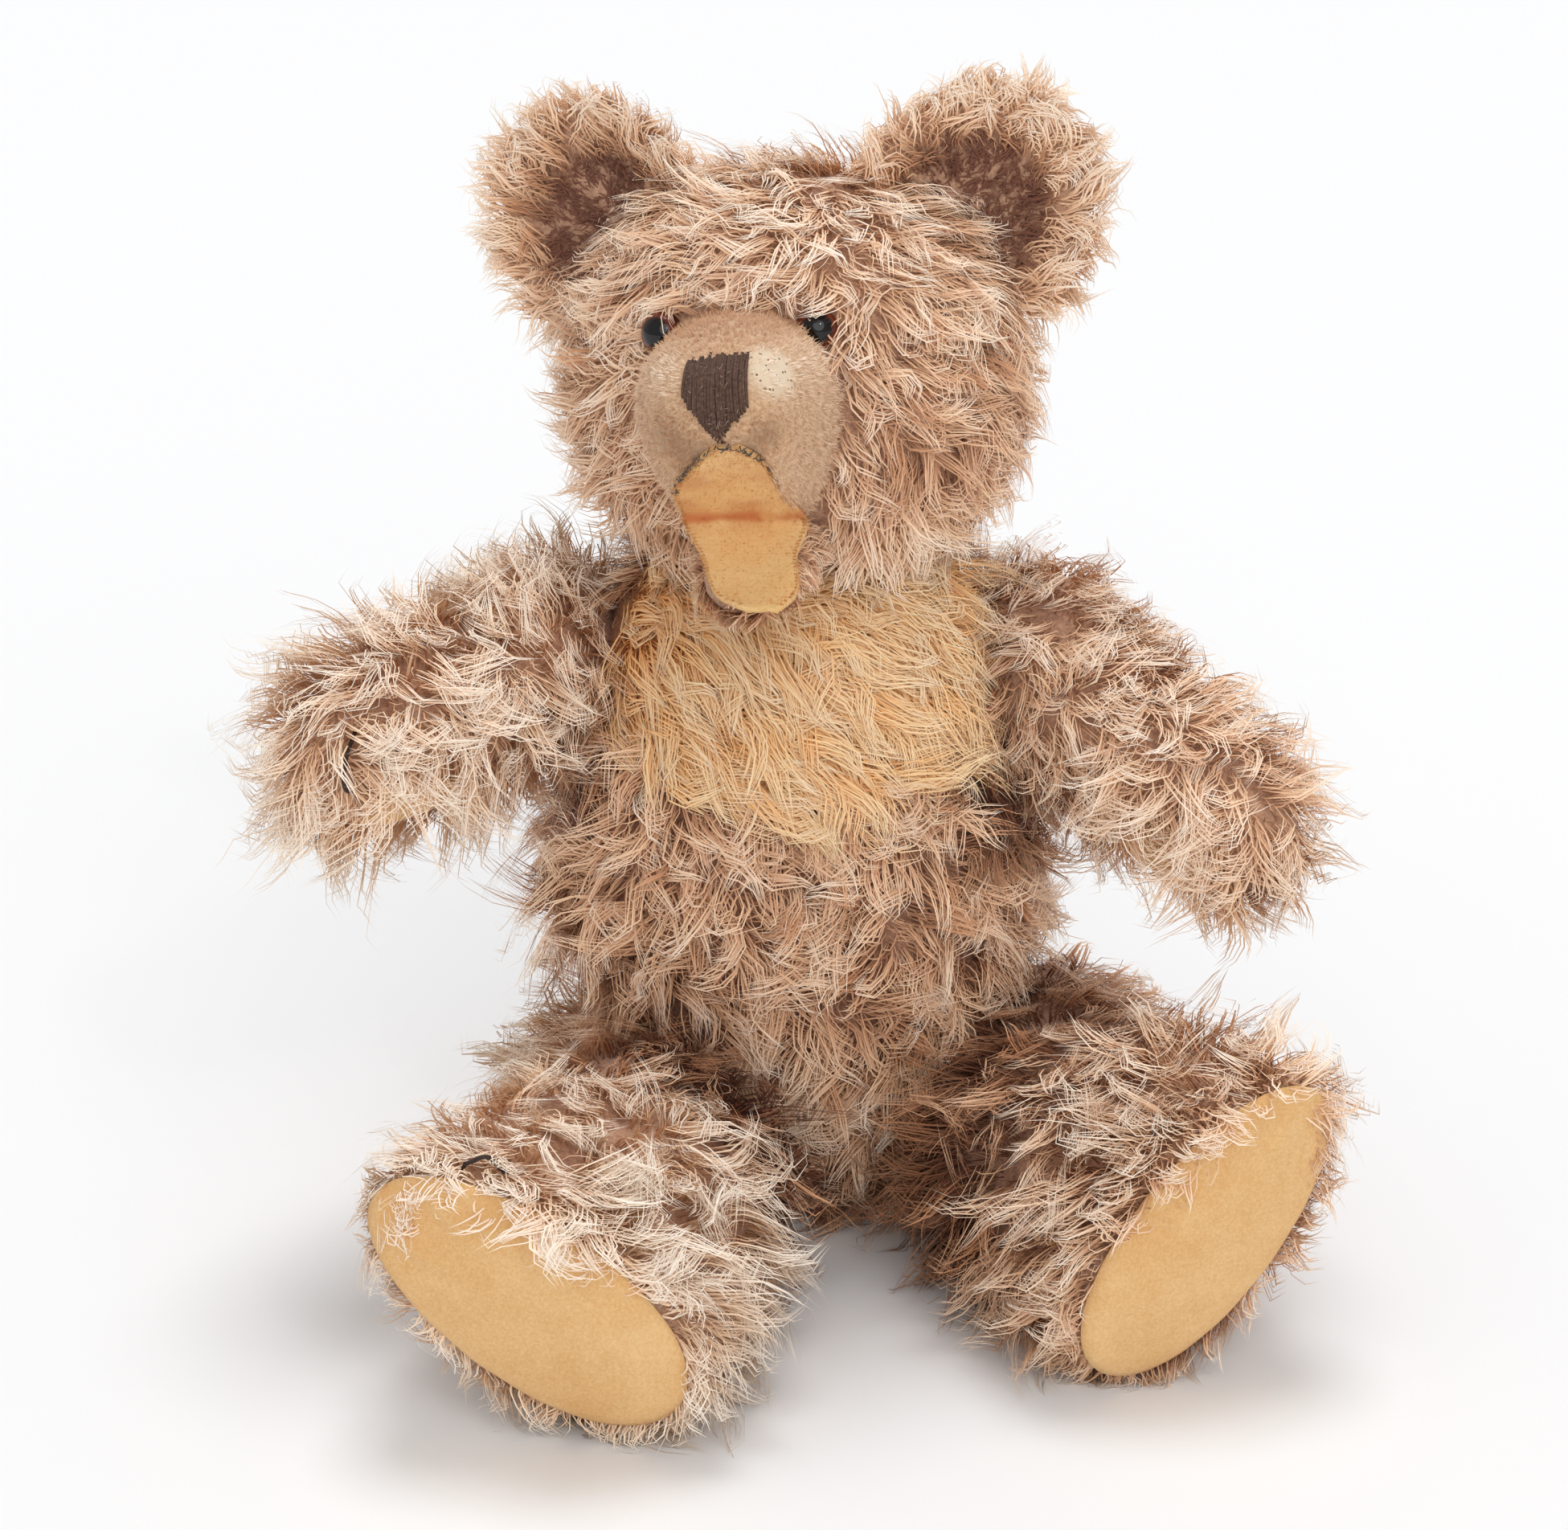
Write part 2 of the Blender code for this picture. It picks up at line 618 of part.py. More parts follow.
def make_arm(side, sign, joint, frame):
    """An arm: skin with its felt paw pad, and stuffing."""
    rings = limb_rings(ARMS[side], sign)
    place, axis, disc = SHOULDERS[side]

    def form(name, inset, colour=None):
        made = new_object(name, ring_cage(name, rings), colour, parent=joint if colour else None)
        soften(made, inset)
        level = Vector(place) + Vector(axis) * (GAP + inset)
        boolean(made, block(f"{name}_shoulder_end", level, -Vector(axis)))
        return made

    skin = form(f"{side}_arm_skin", 0.0, MOHAIR)
    boolean(skin, form(f"{side}_arm_hollow", CLOTH))
    pad = form(f"{side}_paw_pad", 0.0, FELT_COLOUR)
    boolean(pad, form(f"{side}_pad_hollow", CLOTH))
    stuffing = form(f"{side}_arm_stuffing", CLOTH + GAP, STUFFING)
    facing, middle, long, wide = PADS[side]
    palm = turned(facing, mm(middle))
    for piece, margin, operation in ((skin, GAP, "DIFFERENCE"), (pad, 0.0, "INTERSECT")):
        window = cylinder(
            f"{piece.name}_window", long + margin, 0, 40, palm, 24, (wide + margin) / (long + margin)
        )
        boolean(piece, window, operation)
    boolean(skin, cylinder(f"{side}_arm_hole", SKIN_HOLE_RADIUS, -9, CLOTH * 3, frame, 12))
    for cut in pocket(f"{side}_arm", frame, disc, 1):
        boolean(stuffing, cut)


def make_leg(side, sign, joint, frame):
    """A leg: skin that is open at the sole, the felt sole, and stuffing."""
    rings = limb_rings(LEGS[side], sign)
    disc = HIPS[side][2]
    level, facing = SOLES[side]
    facing = Vector(facing).normalized()

    def form(name, inset, colour=None):
        made = new_object(name, ring_cage(name, rings), colour, parent=joint if colour else None)
        soften(made, inset)
        return made

    def trimmed(name, inset, colour=None):
        made = form(name, inset, colour)
        boolean(made, cylinder(f"{name}_hip_end", HIP_SOCKET + 3 + inset, -60, GAP + inset, frame, 20))
        boolean(made, block(f"{name}_floor", (0, 0, inset), (0, 0, -1)))
        return made

    skin = trimmed(f"{side}_leg_skin", 0.0, MOHAIR)
    boolean(skin, trimmed(f"{side}_leg_hollow", CLOTH))
    stuffing = trimmed(f"{side}_leg_stuffing", CLOTH + GAP, STUFFING)
    for piece in (skin, stuffing):
        boolean(piece, block(f"{piece.name}_sole_end", level, facing))
    sole = form(f"{side}_foot_sole", 0.0, FELT_COLOUR)
    slab = block(f"{side}_sole_slab", Vector(level) + facing * GAP, facing, FELT)
    boolean(sole, slab, "INTERSECT")
    boolean(skin, cylinder(f"{side}_leg_hole", SKIN_HOLE_RADIUS, -9, CLOTH * 3, frame, 12))
    for cut in pocket(f"{side}_leg", frame, disc, 1):
        boolean(stuffing, cut)


def main():
    """Builds the bear, body by body."""
    make_torso()
    place, axis, disc = NECK
    neck = joint_empty("neck_joint", turned(axis, mm(place)))
    disc_joint("neck", place, axis, disc, neck)
    make_head(neck)
    for side, sign in (("right", -1), ("left", 1)):
        place, axis, disc = SHOULDERS[side]
        joint = joint_empty(f"{side}_shoulder_joint", turned(axis, mm(place)))
        make_arm(side, sign, joint, disc_joint(f"{side}_shoulder", place, axis, disc, joint))
        place, _, disc = HIPS[side]
        axis = hip_axis(sign)
        joint = joint_empty(f"{side}_hip_joint", turned(axis, mm(place)))
        make_leg(side, sign, joint, disc_joint(f"{side}_hip", place, axis, disc, joint))


clear_scene()
bear = new_collection("teddy_bear")
cutters = new_collection("cutters")
main()
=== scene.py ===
"""Looks of an old jointed mohair teddy bear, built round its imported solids.

Every cloth skin is rebuilt as a smooth form, and its pile is grown from it as real strands in locks.
Metres, +Z up, the bear faces -Y. Left and right are the bear's own, so its left side is at +X.
"""

import json
import math

import bpy
import numpy as np
from mathutils import Matrix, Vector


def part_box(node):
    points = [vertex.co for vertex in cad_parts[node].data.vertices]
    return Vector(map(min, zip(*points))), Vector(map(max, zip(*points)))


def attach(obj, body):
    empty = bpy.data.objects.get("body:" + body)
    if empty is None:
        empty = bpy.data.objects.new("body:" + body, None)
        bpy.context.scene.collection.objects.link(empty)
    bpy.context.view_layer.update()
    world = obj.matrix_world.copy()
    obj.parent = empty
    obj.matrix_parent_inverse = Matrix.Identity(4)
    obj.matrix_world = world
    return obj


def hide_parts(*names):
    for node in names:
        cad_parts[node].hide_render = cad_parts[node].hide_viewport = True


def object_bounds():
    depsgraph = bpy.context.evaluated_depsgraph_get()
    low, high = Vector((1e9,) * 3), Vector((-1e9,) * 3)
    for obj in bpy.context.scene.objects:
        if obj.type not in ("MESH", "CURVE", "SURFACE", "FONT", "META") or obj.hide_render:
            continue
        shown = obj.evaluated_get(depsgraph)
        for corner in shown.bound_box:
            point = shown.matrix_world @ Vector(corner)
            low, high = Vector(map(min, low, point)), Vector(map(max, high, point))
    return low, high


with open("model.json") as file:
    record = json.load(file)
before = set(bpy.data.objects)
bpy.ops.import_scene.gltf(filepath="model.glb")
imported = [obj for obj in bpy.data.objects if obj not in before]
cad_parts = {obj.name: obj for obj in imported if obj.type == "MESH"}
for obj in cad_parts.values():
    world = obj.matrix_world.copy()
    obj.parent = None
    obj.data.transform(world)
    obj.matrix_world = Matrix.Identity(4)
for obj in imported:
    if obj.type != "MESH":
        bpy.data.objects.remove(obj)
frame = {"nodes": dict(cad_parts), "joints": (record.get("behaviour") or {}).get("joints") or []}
cad_box = [list(corner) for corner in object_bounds()]

MM = 0.001
SIDES = (("right", -1), ("left", 1))
JOINTS = {joint["name"]: joint for joint in frame["joints"]}
FLOOR_RISE = 0.3 * MM  # what would pass the floor lies this far above it
FLOOR = ((0, 0, FLOOR_RISE), (0, 0, -1.0))  # a point of it and its way out

# Head frame: the face looks up and to the bear's right
HEAD = (
    Matrix.Translation((0.0025, -0.003, 0.190))
    @ Matrix.Rotation(math.radians(-12.0), 4, "Z")
    @ Matrix.Rotation(math.radians(-10.0), 4, "X")
    @ Matrix.Rotation(math.radians(-4.5), 4, "Y")
)
HEAD_TURN = np.array(HEAD.to_3x3())
HEAD_PLACE = np.array(HEAD.translation)
AHEAD = HEAD_TURN @ (0, -1, 0)  # the way that the face looks


# ---------------------------------------------------------------- arrays


def unit(vectors):
    """Vectors scaled to length one."""
    return vectors / (np.linalg.norm(vectors, axis=-1, keepdims=True) + 1e-12)


def dot(a, b):
    """Dot products along the last axis, which is kept."""
    return (a * b).sum(axis=-1, keepdims=True)


def distance(points, spot):
    """How far points are from a spot."""
    return np.linalg.norm(points - spot, axis=-1)


def full_turn(count):
    """Even angles once round."""
    return np.linspace(0, 2 * np.pi, count, endpoint=False)


def circle(angle, a, b):
    """The way at an angle from a towards b: cosine of the angle times a, plus its sine times b."""
    return np.cos(angle) * a + np.sin(angle) * b


def from_head(points):
    """World metres from millimetres in the head frame."""
    return np.asarray(points, float) * MM @ HEAD_TURN.T + HEAD_PLACE


def to_head(points):
    """Millimetres in the head frame from world metres."""
    return (np.asarray(points, float) - HEAD_PLACE) @ HEAD_TURN / MM


def head_xyz(points):
    """x, y and height in the head frame, in millimetres."""
    return np.moveaxis(to_head(points), -1, 0)


def ripple(points, wavelength, seed, waves=7):
    """A smooth field of about -1 to 1: a mean of sines along random directions."""
    rng = np.random.default_rng(seed)
    pitch = rng.uniform(0.7, 1.4, (waves, 1)) * 2 * np.pi / wavelength
    axes = unit(rng.normal(size=(waves, 3))) * pitch
    return np.sin(points @ axes.T + rng.uniform(0, 2 * np.pi, waves)).mean(axis=-1) * 1.8


def ramp(x, low, high):
    """0 below low, 1 above high, smooth between."""
    t = np.clip((x - low) / (high - low), 0, 1)
    return t * t * (3 - 2 * t)


# ---------------------------------------------------------------- forms rebuilt from the solids


def walls(nodes):
    """The triangles' corners of some CAD nodes, and the number of the node that each is from."""
    corners, owner = [], []
    for number, name in enumerate(nodes):
        mesh = frame["nodes"][name].data
        mesh.calc_loop_triangles()
        place = np.empty(3 * len(mesh.vertices))
        mesh.vertices.foreach_get("co", place)
        index = np.empty(3 * len(mesh.loop_triangles), int)
        mesh.loop_triangles.foreach_get("vertices", index)
        corners.append(place.reshape(-1, 3)[index.reshape(-1, 3)])
        owner.append(np.full(len(mesh.loop_triangles), number))
    return np.concatenate(corners), np.concatenate(owner)


def cast(nodes, starts, ways, batch=200):
    """How far the last wall of some nodes is along each ray. A ray that meets none takes the mean.

    Solves start + t way = a + u e1 + v e2 for every ray and triangle at once. Returns the distances,
    the numbers of the nodes met, and which rays met one.
    """
    corners, owner = walls(nodes)
    a, e1, e2 = corners[:, 0], corners[:, 1] - corners[:, 0], corners[:, 2] - corners[:, 0]
    ways = np.broadcast_to(ways, starts.shape).reshape(-1, 1, 3)
    origins = starts.reshape(-1, 1, 3)
    reach, met = np.zeros(len(origins)), np.zeros(len(origins), int)
    for first in range(0, len(origins), batch):
        now = slice(first, first + batch)
        way = ways[now]
        p = np.cross(way, e2)
        scale = (p * e1).sum(-1)
        scale[np.abs(scale) < 1e-16] = 1e16
        s = origins[now] - a
        u = (s * p).sum(-1) / scale
        q = np.cross(s, e1)
        v = (way * q).sum(-1) / scale
        t = (e2 * q).sum(-1) / scale
        t[(u < -1e-6) | (v < -1e-6) | (u + v > 1 + 1e-6) | (t < 0)] = 0
        last = t.argmax(axis=1)
        reach[now] = t[np.arange(len(t)), last]
        met[now] = owner[last]
    hit = reach >= 1e-5
    reach[~hit] = reach[hit].mean()
    return [part.reshape(starts.shape[:-1]) for part in (reach, met, hit)]


def softened(field, times, hold=None):
    """A running mean of 1 2 1 round the columns and along the rows, where hold is not set."""
    for _ in range(times):
        turned = (np.roll(field, 1, 1) + 2 * field + np.roll(field, -1, 1)) / 4
        edged = np.concatenate([turned[:1], turned, turned[-1:]])
        mean = (edged[:-2] + 2 * edged[1:-1] + edged[2:]) / 4
        field = mean if hold is None else np.where(hold, field, mean)
    return field


def with_normals(points, first, last, owner):
    """A form: its points, their normals square to the grid's rows and columns, and its node numbers."""
    rise = np.gradient(points, axis=0)
    run = np.roll(points, -1, 1) - np.roll(points, 1, 1)
    normals = unit(np.cross(run, rise))
    normals[0], normals[-1] = first, last
    return {"points": points, "normals": normals, "owner": owner}


def form(nodes, low, high, rows=(9, 22), columns=56, planes=(), swell=0.0):
    """A closed form round the line from low to high, as wide as the last wall of the nodes.

    Rays leave low over a half sphere, then square to the line all along it, then leave high over a half
    sphere. A ray that meets no wall takes the mean of its neighbours. No ray passes the floor or a plane
    in planes, each a point and a normal.
    """
    low, high = np.asarray(low, float), np.asarray(high, float)
    along = unit(high - low)
    side = unit(np.cross(along, (0, 0, 1) if abs(along[2]) < 0.8 else (0, 1, 0)))
    over = np.cross(along, side)
    cap, middle = rows
    bend = np.linspace(-np.pi / 2, 0, cap)
    tilt = np.concatenate([bend, np.zeros(middle), -bend[::-1]])[:, None, None]
    share = np.concatenate([np.zeros(cap), np.linspace(0, 1, middle + 2)[1:-1], np.ones(cap)])
    ways = circle(tilt, circle(full_turn(columns)[None, :, None], side, over), along)
    starts = low + (high - low) * share[:, None, None] + 0 * ways
    reach, owner, hit = cast(nodes, starts, ways)
    reach = softened(softened(reach, 60, hit), 3) + swell
    for point, normal in [*planes, FLOOR]:
        rate = (ways * normal).sum(-1)
        far = ((np.asarray(point) - starts) * normal).sum(-1) / np.where(rate > 1e-4, rate, 1e-4)
        reach = np.minimum(reach, np.where(rate > 1e-4, np.maximum(far, 0.0), 1e9))
    points = starts + ways * reach[..., None]
    points[0], points[-1] = points[0].mean(axis=0), points[-1].mean(axis=0)
    return with_normals(points, -along, along, owner)


def scatter(shape, count, rng, weight):
    """Points spread over a form by area times weight, and their normals.

    Weight is a function of points, normals and node numbers. Cells are picked at even steps of the
    running total.
    """
    wrapped, turned = (
        np.concatenate([shape[part], shape[part][:, :1]], axis=1) for part in ("points", "normals")
    )
    corner, below, beside, across = wrapped[:-1, :-1], wrapped[1:, :-1], wrapped[:-1, 1:], wrapped[1:, 1:]
    area = np.linalg.norm(np.cross(below - corner, beside - corner), axis=-1)
    area += np.linalg.norm(np.cross(across - below, across - beside), axis=-1)
    area = area * weight(corner, turned[:-1, :-1], shape["owner"][:-1])
    total = np.cumsum(area.ravel())
    spot = (np.arange(count) + rng.random(count)) / count * total[-1]
    cell = np.minimum(np.searchsorted(total, spot), area.size - 1)
    row, column = np.divmod(cell, area.shape[1])
    u, v = rng.random((count, 1)), rng.random((count, 1))

    def blend(grid):
        low = grid[row, column] * (1 - u) + grid[row, column + 1] * u
        high = grid[row + 1, column] * (1 - u) + grid[row + 1, column + 1] * u
        return low * (1 - v) + high * v

    return blend(wrapped), unit(blend(turned))


# ---------------------------------------------------------------- meshes


def new_mesh(name, places, faces, sides, uv=None):
    """A mesh from arrays: places by vertex, faces as a flat run of vertex numbers, sides by face."""
    mesh = bpy.data.meshes.new(name)
    mesh.vertices.add(len(places))
    mesh.vertices.foreach_set("co", np.ascontiguousarray(places, np.float32).ravel())
    mesh.loops.add(len(faces))
    mesh.loops.foreach_set("vertex_index", np.ascontiguousarray(faces, np.int32))
    starts = np.concatenate([[0], np.cumsum(sides)[:-1]]).astype(np.int32)
    mesh.polygons.add(len(sides))
    mesh.polygons.foreach_set("loop_start", starts)
    mesh.polygons.foreach_set("use_smooth", np.full(len(sides), True))
    if uv is not None:
        layer = mesh.uv_layers.new(name=uv[0])
        layer.data.foreach_set("uv", np.ascontiguousarray(uv[1], np.float32)[faces].ravel())
    mesh.update(calc_edges=True)
    mesh.validate()
    return mesh


def new_object(name, data):
    """An object at the origin, in the scene."""
    made = bpy.data.objects.new(name, data)
    bpy.context.scene.collection.objects.link(made)
    return made


def new_piece(name, mesh, material, body, replaces=()):
    """An object at the origin that rides on a body and stands for some CAD nodes."""
    piece = new_object(name, mesh)
    mesh.materials.append(material)
    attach(piece, body)
    if replaces:
        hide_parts(*replaces)
    return piece


def ring_bands(starts, count):
    """Rings of some vertices from the numbers in starts, and the quads between each and the next.

    Returns the numbers in a ring, the numbers after them, and the quads.
    """
    ring = np.arange(count)
    after = (ring + 1) % count
    low, high = starts[:, None], starts[:, None] + count
    return ring, after, np.stack([low + ring, low + after, high + after, high + ring], -1)


def closed_mesh(name, points, uv=None):
    """A mesh from rows of points that run from pole to pole: one vertex at each pole, quads between.

    A map's v runs from 0 to 1 by row, and its u by column.
    """
    rows, columns = points.shape[:2]
    places = np.concatenate([points[:1, 0], points[1:-1].reshape(-1, 3), points[-1:, 0]])
    ring, after, quads = ring_bands(1 + np.arange(rows - 3) * columns, columns)
    last = 1 + (rows - 3) * columns
    bottom = np.stack([np.zeros_like(ring), 1 + after, 1 + ring], -1)
    top = np.stack([np.full_like(ring, len(places) - 1), last + ring, last + after], -1)
    faces = np.concatenate([quads.ravel(), bottom.ravel(), top.ravel()])
    sides = np.concatenate([np.full(quads.size // 4, 4), np.full(2 * columns, 3)])
    if uv:
        u, v = np.meshgrid((ring + 0.5) / columns, np.linspace(0, 1, rows)[1:-1])
        coords = np.concatenate([[[0.5, 0]], np.stack([u, v], -1).reshape(-1, 2), [[0.5, 1]]])
        uv = (uv, coords * 0.98 + 0.01)
    return new_mesh(name, places, faces, sides, uv)


def tubes(name, paths, radius, sides=7):
    """Round threads: a ring of points square to each path at each of its places, closed at both ends.

    Radius is by path and place.
    """
    total, count = paths.shape[:2]
    heading = unit(np.gradient(paths, axis=1))
    across = unit(np.cross(heading, (0.3, 0.2, 0.93)))
    over = np.cross(heading, across)
    around = circle(full_turn(sides)[:, None], across[:, :, None], over[:, :, None])
    rings = paths[:, :, None] + around * radius[..., None, None]
    places = np.concatenate([rings.reshape(total, -1, 3), paths[:, :1], paths[:, -1:]], 1)
    ring, after, quads = ring_bands(np.arange(count - 1) * sides, sides)
    end = count * sides
    start_cap = np.stack([np.full(sides, end), after, ring], -1)
    end_cap = np.stack([np.full(sides, end + 1), end - sides + ring, end - sides + after], -1)
    each = np.concatenate([quads.ravel(), start_cap.ravel(), end_cap.ravel()])
    faces = (np.arange(total)[:, None] * (end + 2) + each).ravel()
    kinds = np.tile([4] * (quads.size // 4) + [3] * (2 * sides), total)
    return new_mesh(name, places.reshape(-1, 3), faces, kinds)


# ---------------------------------------------------------------- materials


class Socket:
    """A value in a material's node tree. Arithmetic on it adds Math nodes."""

    def __init__(self, paint, link):
        self.paint = paint
        self.link = link

    def math(self, operation, *values):
        return self.paint.node("ShaderNodeMath", {"operation": operation}, [self, *values])

    def __add__(self, other):
        return self.math("ADD", other)

    def __sub__(self, other):
        return self.math("SUBTRACT", other)

    def __rsub__(self, other):
        return self.paint.node("ShaderNodeMath", {"operation": "SUBTRACT"}, [other, self])

    def __mul__(self, other):
        return self.math("MULTIPLY", other)

    def __truediv__(self, other):
        return self.math("DIVIDE", other)

    def __pow__(self, other):
        return self.math("POWER", other)

    __radd__ = __add__
    __rmul__ = __mul__


def colour(code):
    """Linear colour from a six-letter code."""
    parts = [int(code[i : i + 2], 16) / 255 for i in (0, 2, 4)]
    line = [p / 12.92 if p <= 0.04045 else ((p + 0.055) / 1.055) ** 2.4 for p in parts]
    return (*line, 1.0)


class Paint:
    """A material with one Principled shader, and the calls that add nodes to it."""

    def __init__(self, name, roughness, **fixed):
        self.material = bpy.data.materials.new(name)
        self.material.use_nodes = True
        self.tree = self.material.node_tree
        self.shader = self.tree.nodes["Principled BSDF"]
        self.shader.inputs["Roughness"].default_value = roughness
        for key, value in fixed.items():
            self.shader.inputs[key.replace("_", " ")].default_value = value

    def node(self, kind, settings=None, inputs=(), output=0):
        """Adds a node: its settings first, then the links or values of its sockets, a code as a colour."""
        made = self.tree.nodes.new(kind)
        for key, value in (settings or {}).items():
            if key == "stops":
                set_stops(made.color_ramp, value)
            else:
                setattr(made, key, value)
        named = inputs.items() if isinstance(inputs, dict) else enumerate(inputs)
        for key, value in named:
            if isinstance(value, Socket):
                self.tree.links.new(value.link, made.inputs[key])
            else:
                made.inputs[key].default_value = colour(value) if isinstance(value, str) else value
        return Socket(self, made.outputs[output])

    def place(self):
        """Object coordinates."""
        return self.node("ShaderNodeTexCoord", output="Object")

    def xyz(self, vector):
        """The three numbers of a vector."""
        split = self.tree.nodes.new("ShaderNodeSeparateXYZ")
        self.tree.links.new(vector.link, split.inputs[0])
        return [Socket(self, output) for output in split.outputs]

    def uv(self, name):
        """The two coordinates of a UV map."""
        return self.xyz(self.node("ShaderNodeUVMap", {"uv_map": name}))[:2]

    def near(self, place, spot, inner, outer):
        """1 within a distance of a spot, fading to 0 at a larger one."""
        settings = {"operation": "DISTANCE"}
        away = self.node("ShaderNodeVectorMath", settings, [place, tuple(spot)], "Value")
        return 1 - self.step(away, inner, outer)

    def noise(self, scale, detail=3.0, rough=0.55):
        """Noise of 0 to 1 on Object coordinates."""
        inputs = {"Vector": self.place(), "Scale": scale, "Detail": detail, "Roughness": rough}
        return self.node("ShaderNodeTexNoise", {}, inputs)

    def cells(self, place, scale):
        """Distance from the nearest of scattered points."""
        return self.node("ShaderNodeTexVoronoi", {}, {"Vector": place, "Scale": scale})

    def step(self, value, low, high):
        """0 below low, 1 above high, smooth between."""
        settings = {"interpolation_type": "SMOOTHSTEP"}
        return self.node("ShaderNodeMapRange", settings, {0: value, 1: low, 2: high})

    def colours(self, value, stops):
        """A colour ramp of (place, colour)."""
        return self.node("ShaderNodeValToRGB", {"stops": stops}, [value])

    def mix(self, share, a, b):
        """Colour a, with a share of colour b laid over it."""
        return self.node("ShaderNodeMix", {"data_type": "RGBA"}, {"Factor": share, 6: a, 7: b}, 2)

    def done(self, base, height=None, strength=0.6, depth=0.0005):
        """Links the base colour, and a height as bump, and gives the material."""
        self.tree.links.new(base.link, self.shader.inputs["Base Color"])
        if height:
            inputs = {"Strength": strength, "Distance": depth, "Height": height}
            bump = self.node("ShaderNodeBump", {}, inputs)
            self.tree.links.new(bump.link, self.shader.inputs["Normal"])
        return self.material


def set_stops(colour_ramp, stops):
    """Sets a colour ramp's stops."""
    while len(colour_ramp.elements) > 1:
        colour_ramp.elements.remove(colour_ramp.elements[-1])
    for i, (place, code) in enumerate(stops):
        stop = colour_ramp.elements[0] if i == 0 else colour_ramp.elements.new(place)
        stop.position = place
        stop.color = colour(code)


def pile_paint(name, dark, pale):
    """Strand colours on the pile's own map: root to tip along v, dark to pale strands along u."""
    paint = Paint(name, 0.48, Specular_IOR_Level=0.2, Sheen_Weight=0.03)
    across, along = paint.uv("OFBake")
    return paint.done(paint.mix(across, paint.colours(along, dark), paint.colours(along, pale)))


BIB = (0.0, 0.130, 0.043, 0.027)  # the bib's oval: middle x and z, half width and half height


def bib_oval(x, z):
    """Less than 1 within the bib's oval: its two shares of a half axis, squared and added."""
    return ((x - BIB[0]) / BIB[2]) ** 2 + ((z - BIB[1]) / BIB[3]) ** 2


def cloth_paint(name, deep, light, bib=False):
    """Backing cloth with its matted under-pile: short fibres in two browns, golden under the bib."""
    paint = Paint(name, 0.9, Sheen_Weight=0.2)
    fibres = paint.noise(900, 4, 0.7)
    share = paint.step(fibres * 0.6 + paint.noise(70, 3) * 0.4, 0.35, 0.65)
    base = paint.mix(share, deep, light)
    if bib:
        x, y, z = paint.xyz(paint.place())
        inside = (1 - paint.step(bib_oval(x, z), 0.9, 1.15)) * paint.step(0 - y, 0.005, 0.012)
        base = paint.mix(inside, base, paint.mix(share, "B0703C", "E0A468"))
    return paint.done(base, fibres, depth=0.0006)


def creased(paint, base, stains):
    """Felt colours along the mouth: a darker palate as painted shade under the muzzle, a dark crease as
    painted shade in its fold, and a paler tongue.
    """
    crease = 0.5
    _, along = paint.uv("felt_map")
    away = (along - crease).math("ABSOLUTE")
    patchy = paint.step(paint.noise(110, 2), 0.38, 0.6)
    # Painted shade along the crease's fold, in patches
    near = (1 - paint.step(away + (stains - 0.5) * 0.06, 0.0, 0.05)) * (patchy * 0.5 + 0.25)
    beyond = paint.step(along, crease, crease + 0.12)
    # Painted shade over the palate, under the muzzle's overhang
    roof = (1 - beyond) * (patchy * 0.4 + 0.22)
    base = paint.mix(roof, paint.mix(beyond * 0.15, base, "DCA468"), "D48A50")
    return paint.mix(near, base, "CC7040")


def felt_paint(name, deep, light, mouth=False):
    """Wool felt: short crossed fibres, soft stains and a few dark spots."""
    paint = Paint(name, 1.0, Specular_IOR_Level=0.12, Sheen_Weight=0.12)
    fibres = paint.noise(1500, 5, 0.75)
    stains = paint.noise(60, 4, 0.6)
    base = paint.mix(paint.step(fibres * 0.6 + stains * 0.4, 0.3, 0.7), deep, light)
    if mouth:
        base = creased(paint, base, stains)
    dots = 1 - paint.step(paint.cells(paint.place(), 75.0), 0.05, 0.09)
    spot = dots * paint.step(paint.noise(41, 2), 0.6, 0.66) * 0.7
    height = fibres * 0.7 + paint.noise(500, 4) * 0.5
    return paint.done(paint.mix(spot, base, "7A4A28"), height, strength=0.8)


def muzzle_paint(name):
    """Worn plush: beige with brown soiling under the nose and a pale rubbed patch with needle holes."""
    paint = Paint(name, 0.95, Sheen_Weight=0.2)
    fibres = paint.noise(1300, 4, 0.7)
    place = paint.place()
    base = paint.mix(paint.step(fibres, 0.3, 0.7), "BC9068", "E4C09A")
    rubbed = paint.near(place, from_head((9.0, -67, 1.0)), 0.0035, 0.008)
    pricked = paint.mix(1 - paint.step(paint.cells(place, 900.0), 0.18, 0.3), "E6D2B6", "5A4030")
    base = paint.mix(rubbed * 0.9, base, pricked)
    soil = paint.near(place, from_head((-9, -64, -11)), 0.003, 0.009)
    soil = soil + paint.near(place, from_head((6.5, -67, -10)), 0.002, 0.006)
    return paint.done(paint.mix(soil * 0.55, base, "7E5A40"), fibres)


def eye_paint(name):
    """A glass eye by angle from its middle: black pupil, red-brown iris, dark rim."""
    paint = Paint(name, 0.08, Specular_IOR_Level=0.35, Coat_Weight=0.3, Coat_Roughness=0.04)
    _, out = paint.uv("eye_map")
    pupil = [(0.0, "050404"), (0.2, "070505"), (0.235, "2A0E08")]
    iris = [(0.3, "7A3018"), (0.42, "5A2010"), (0.5, "1A0A06"), (1.0, "0A0604")]
    flecks = (paint.noise(900, 3) - 0.5) * 0.05
    return paint.done(paint.colours(out + flecks, pupil + iris))


def plain_paint(name, deep, light, scale, roughness, depth, **fixed):
    """A material of two close colours in a fine grain, with bump."""
    paint = Paint(name, roughness, **fixed)
    grain = paint.noise(scale, 5, 0.7)
    return paint.done(paint.mix(paint.step(grain, 0.3, 0.7), deep, light), grain, 0.5, depth)


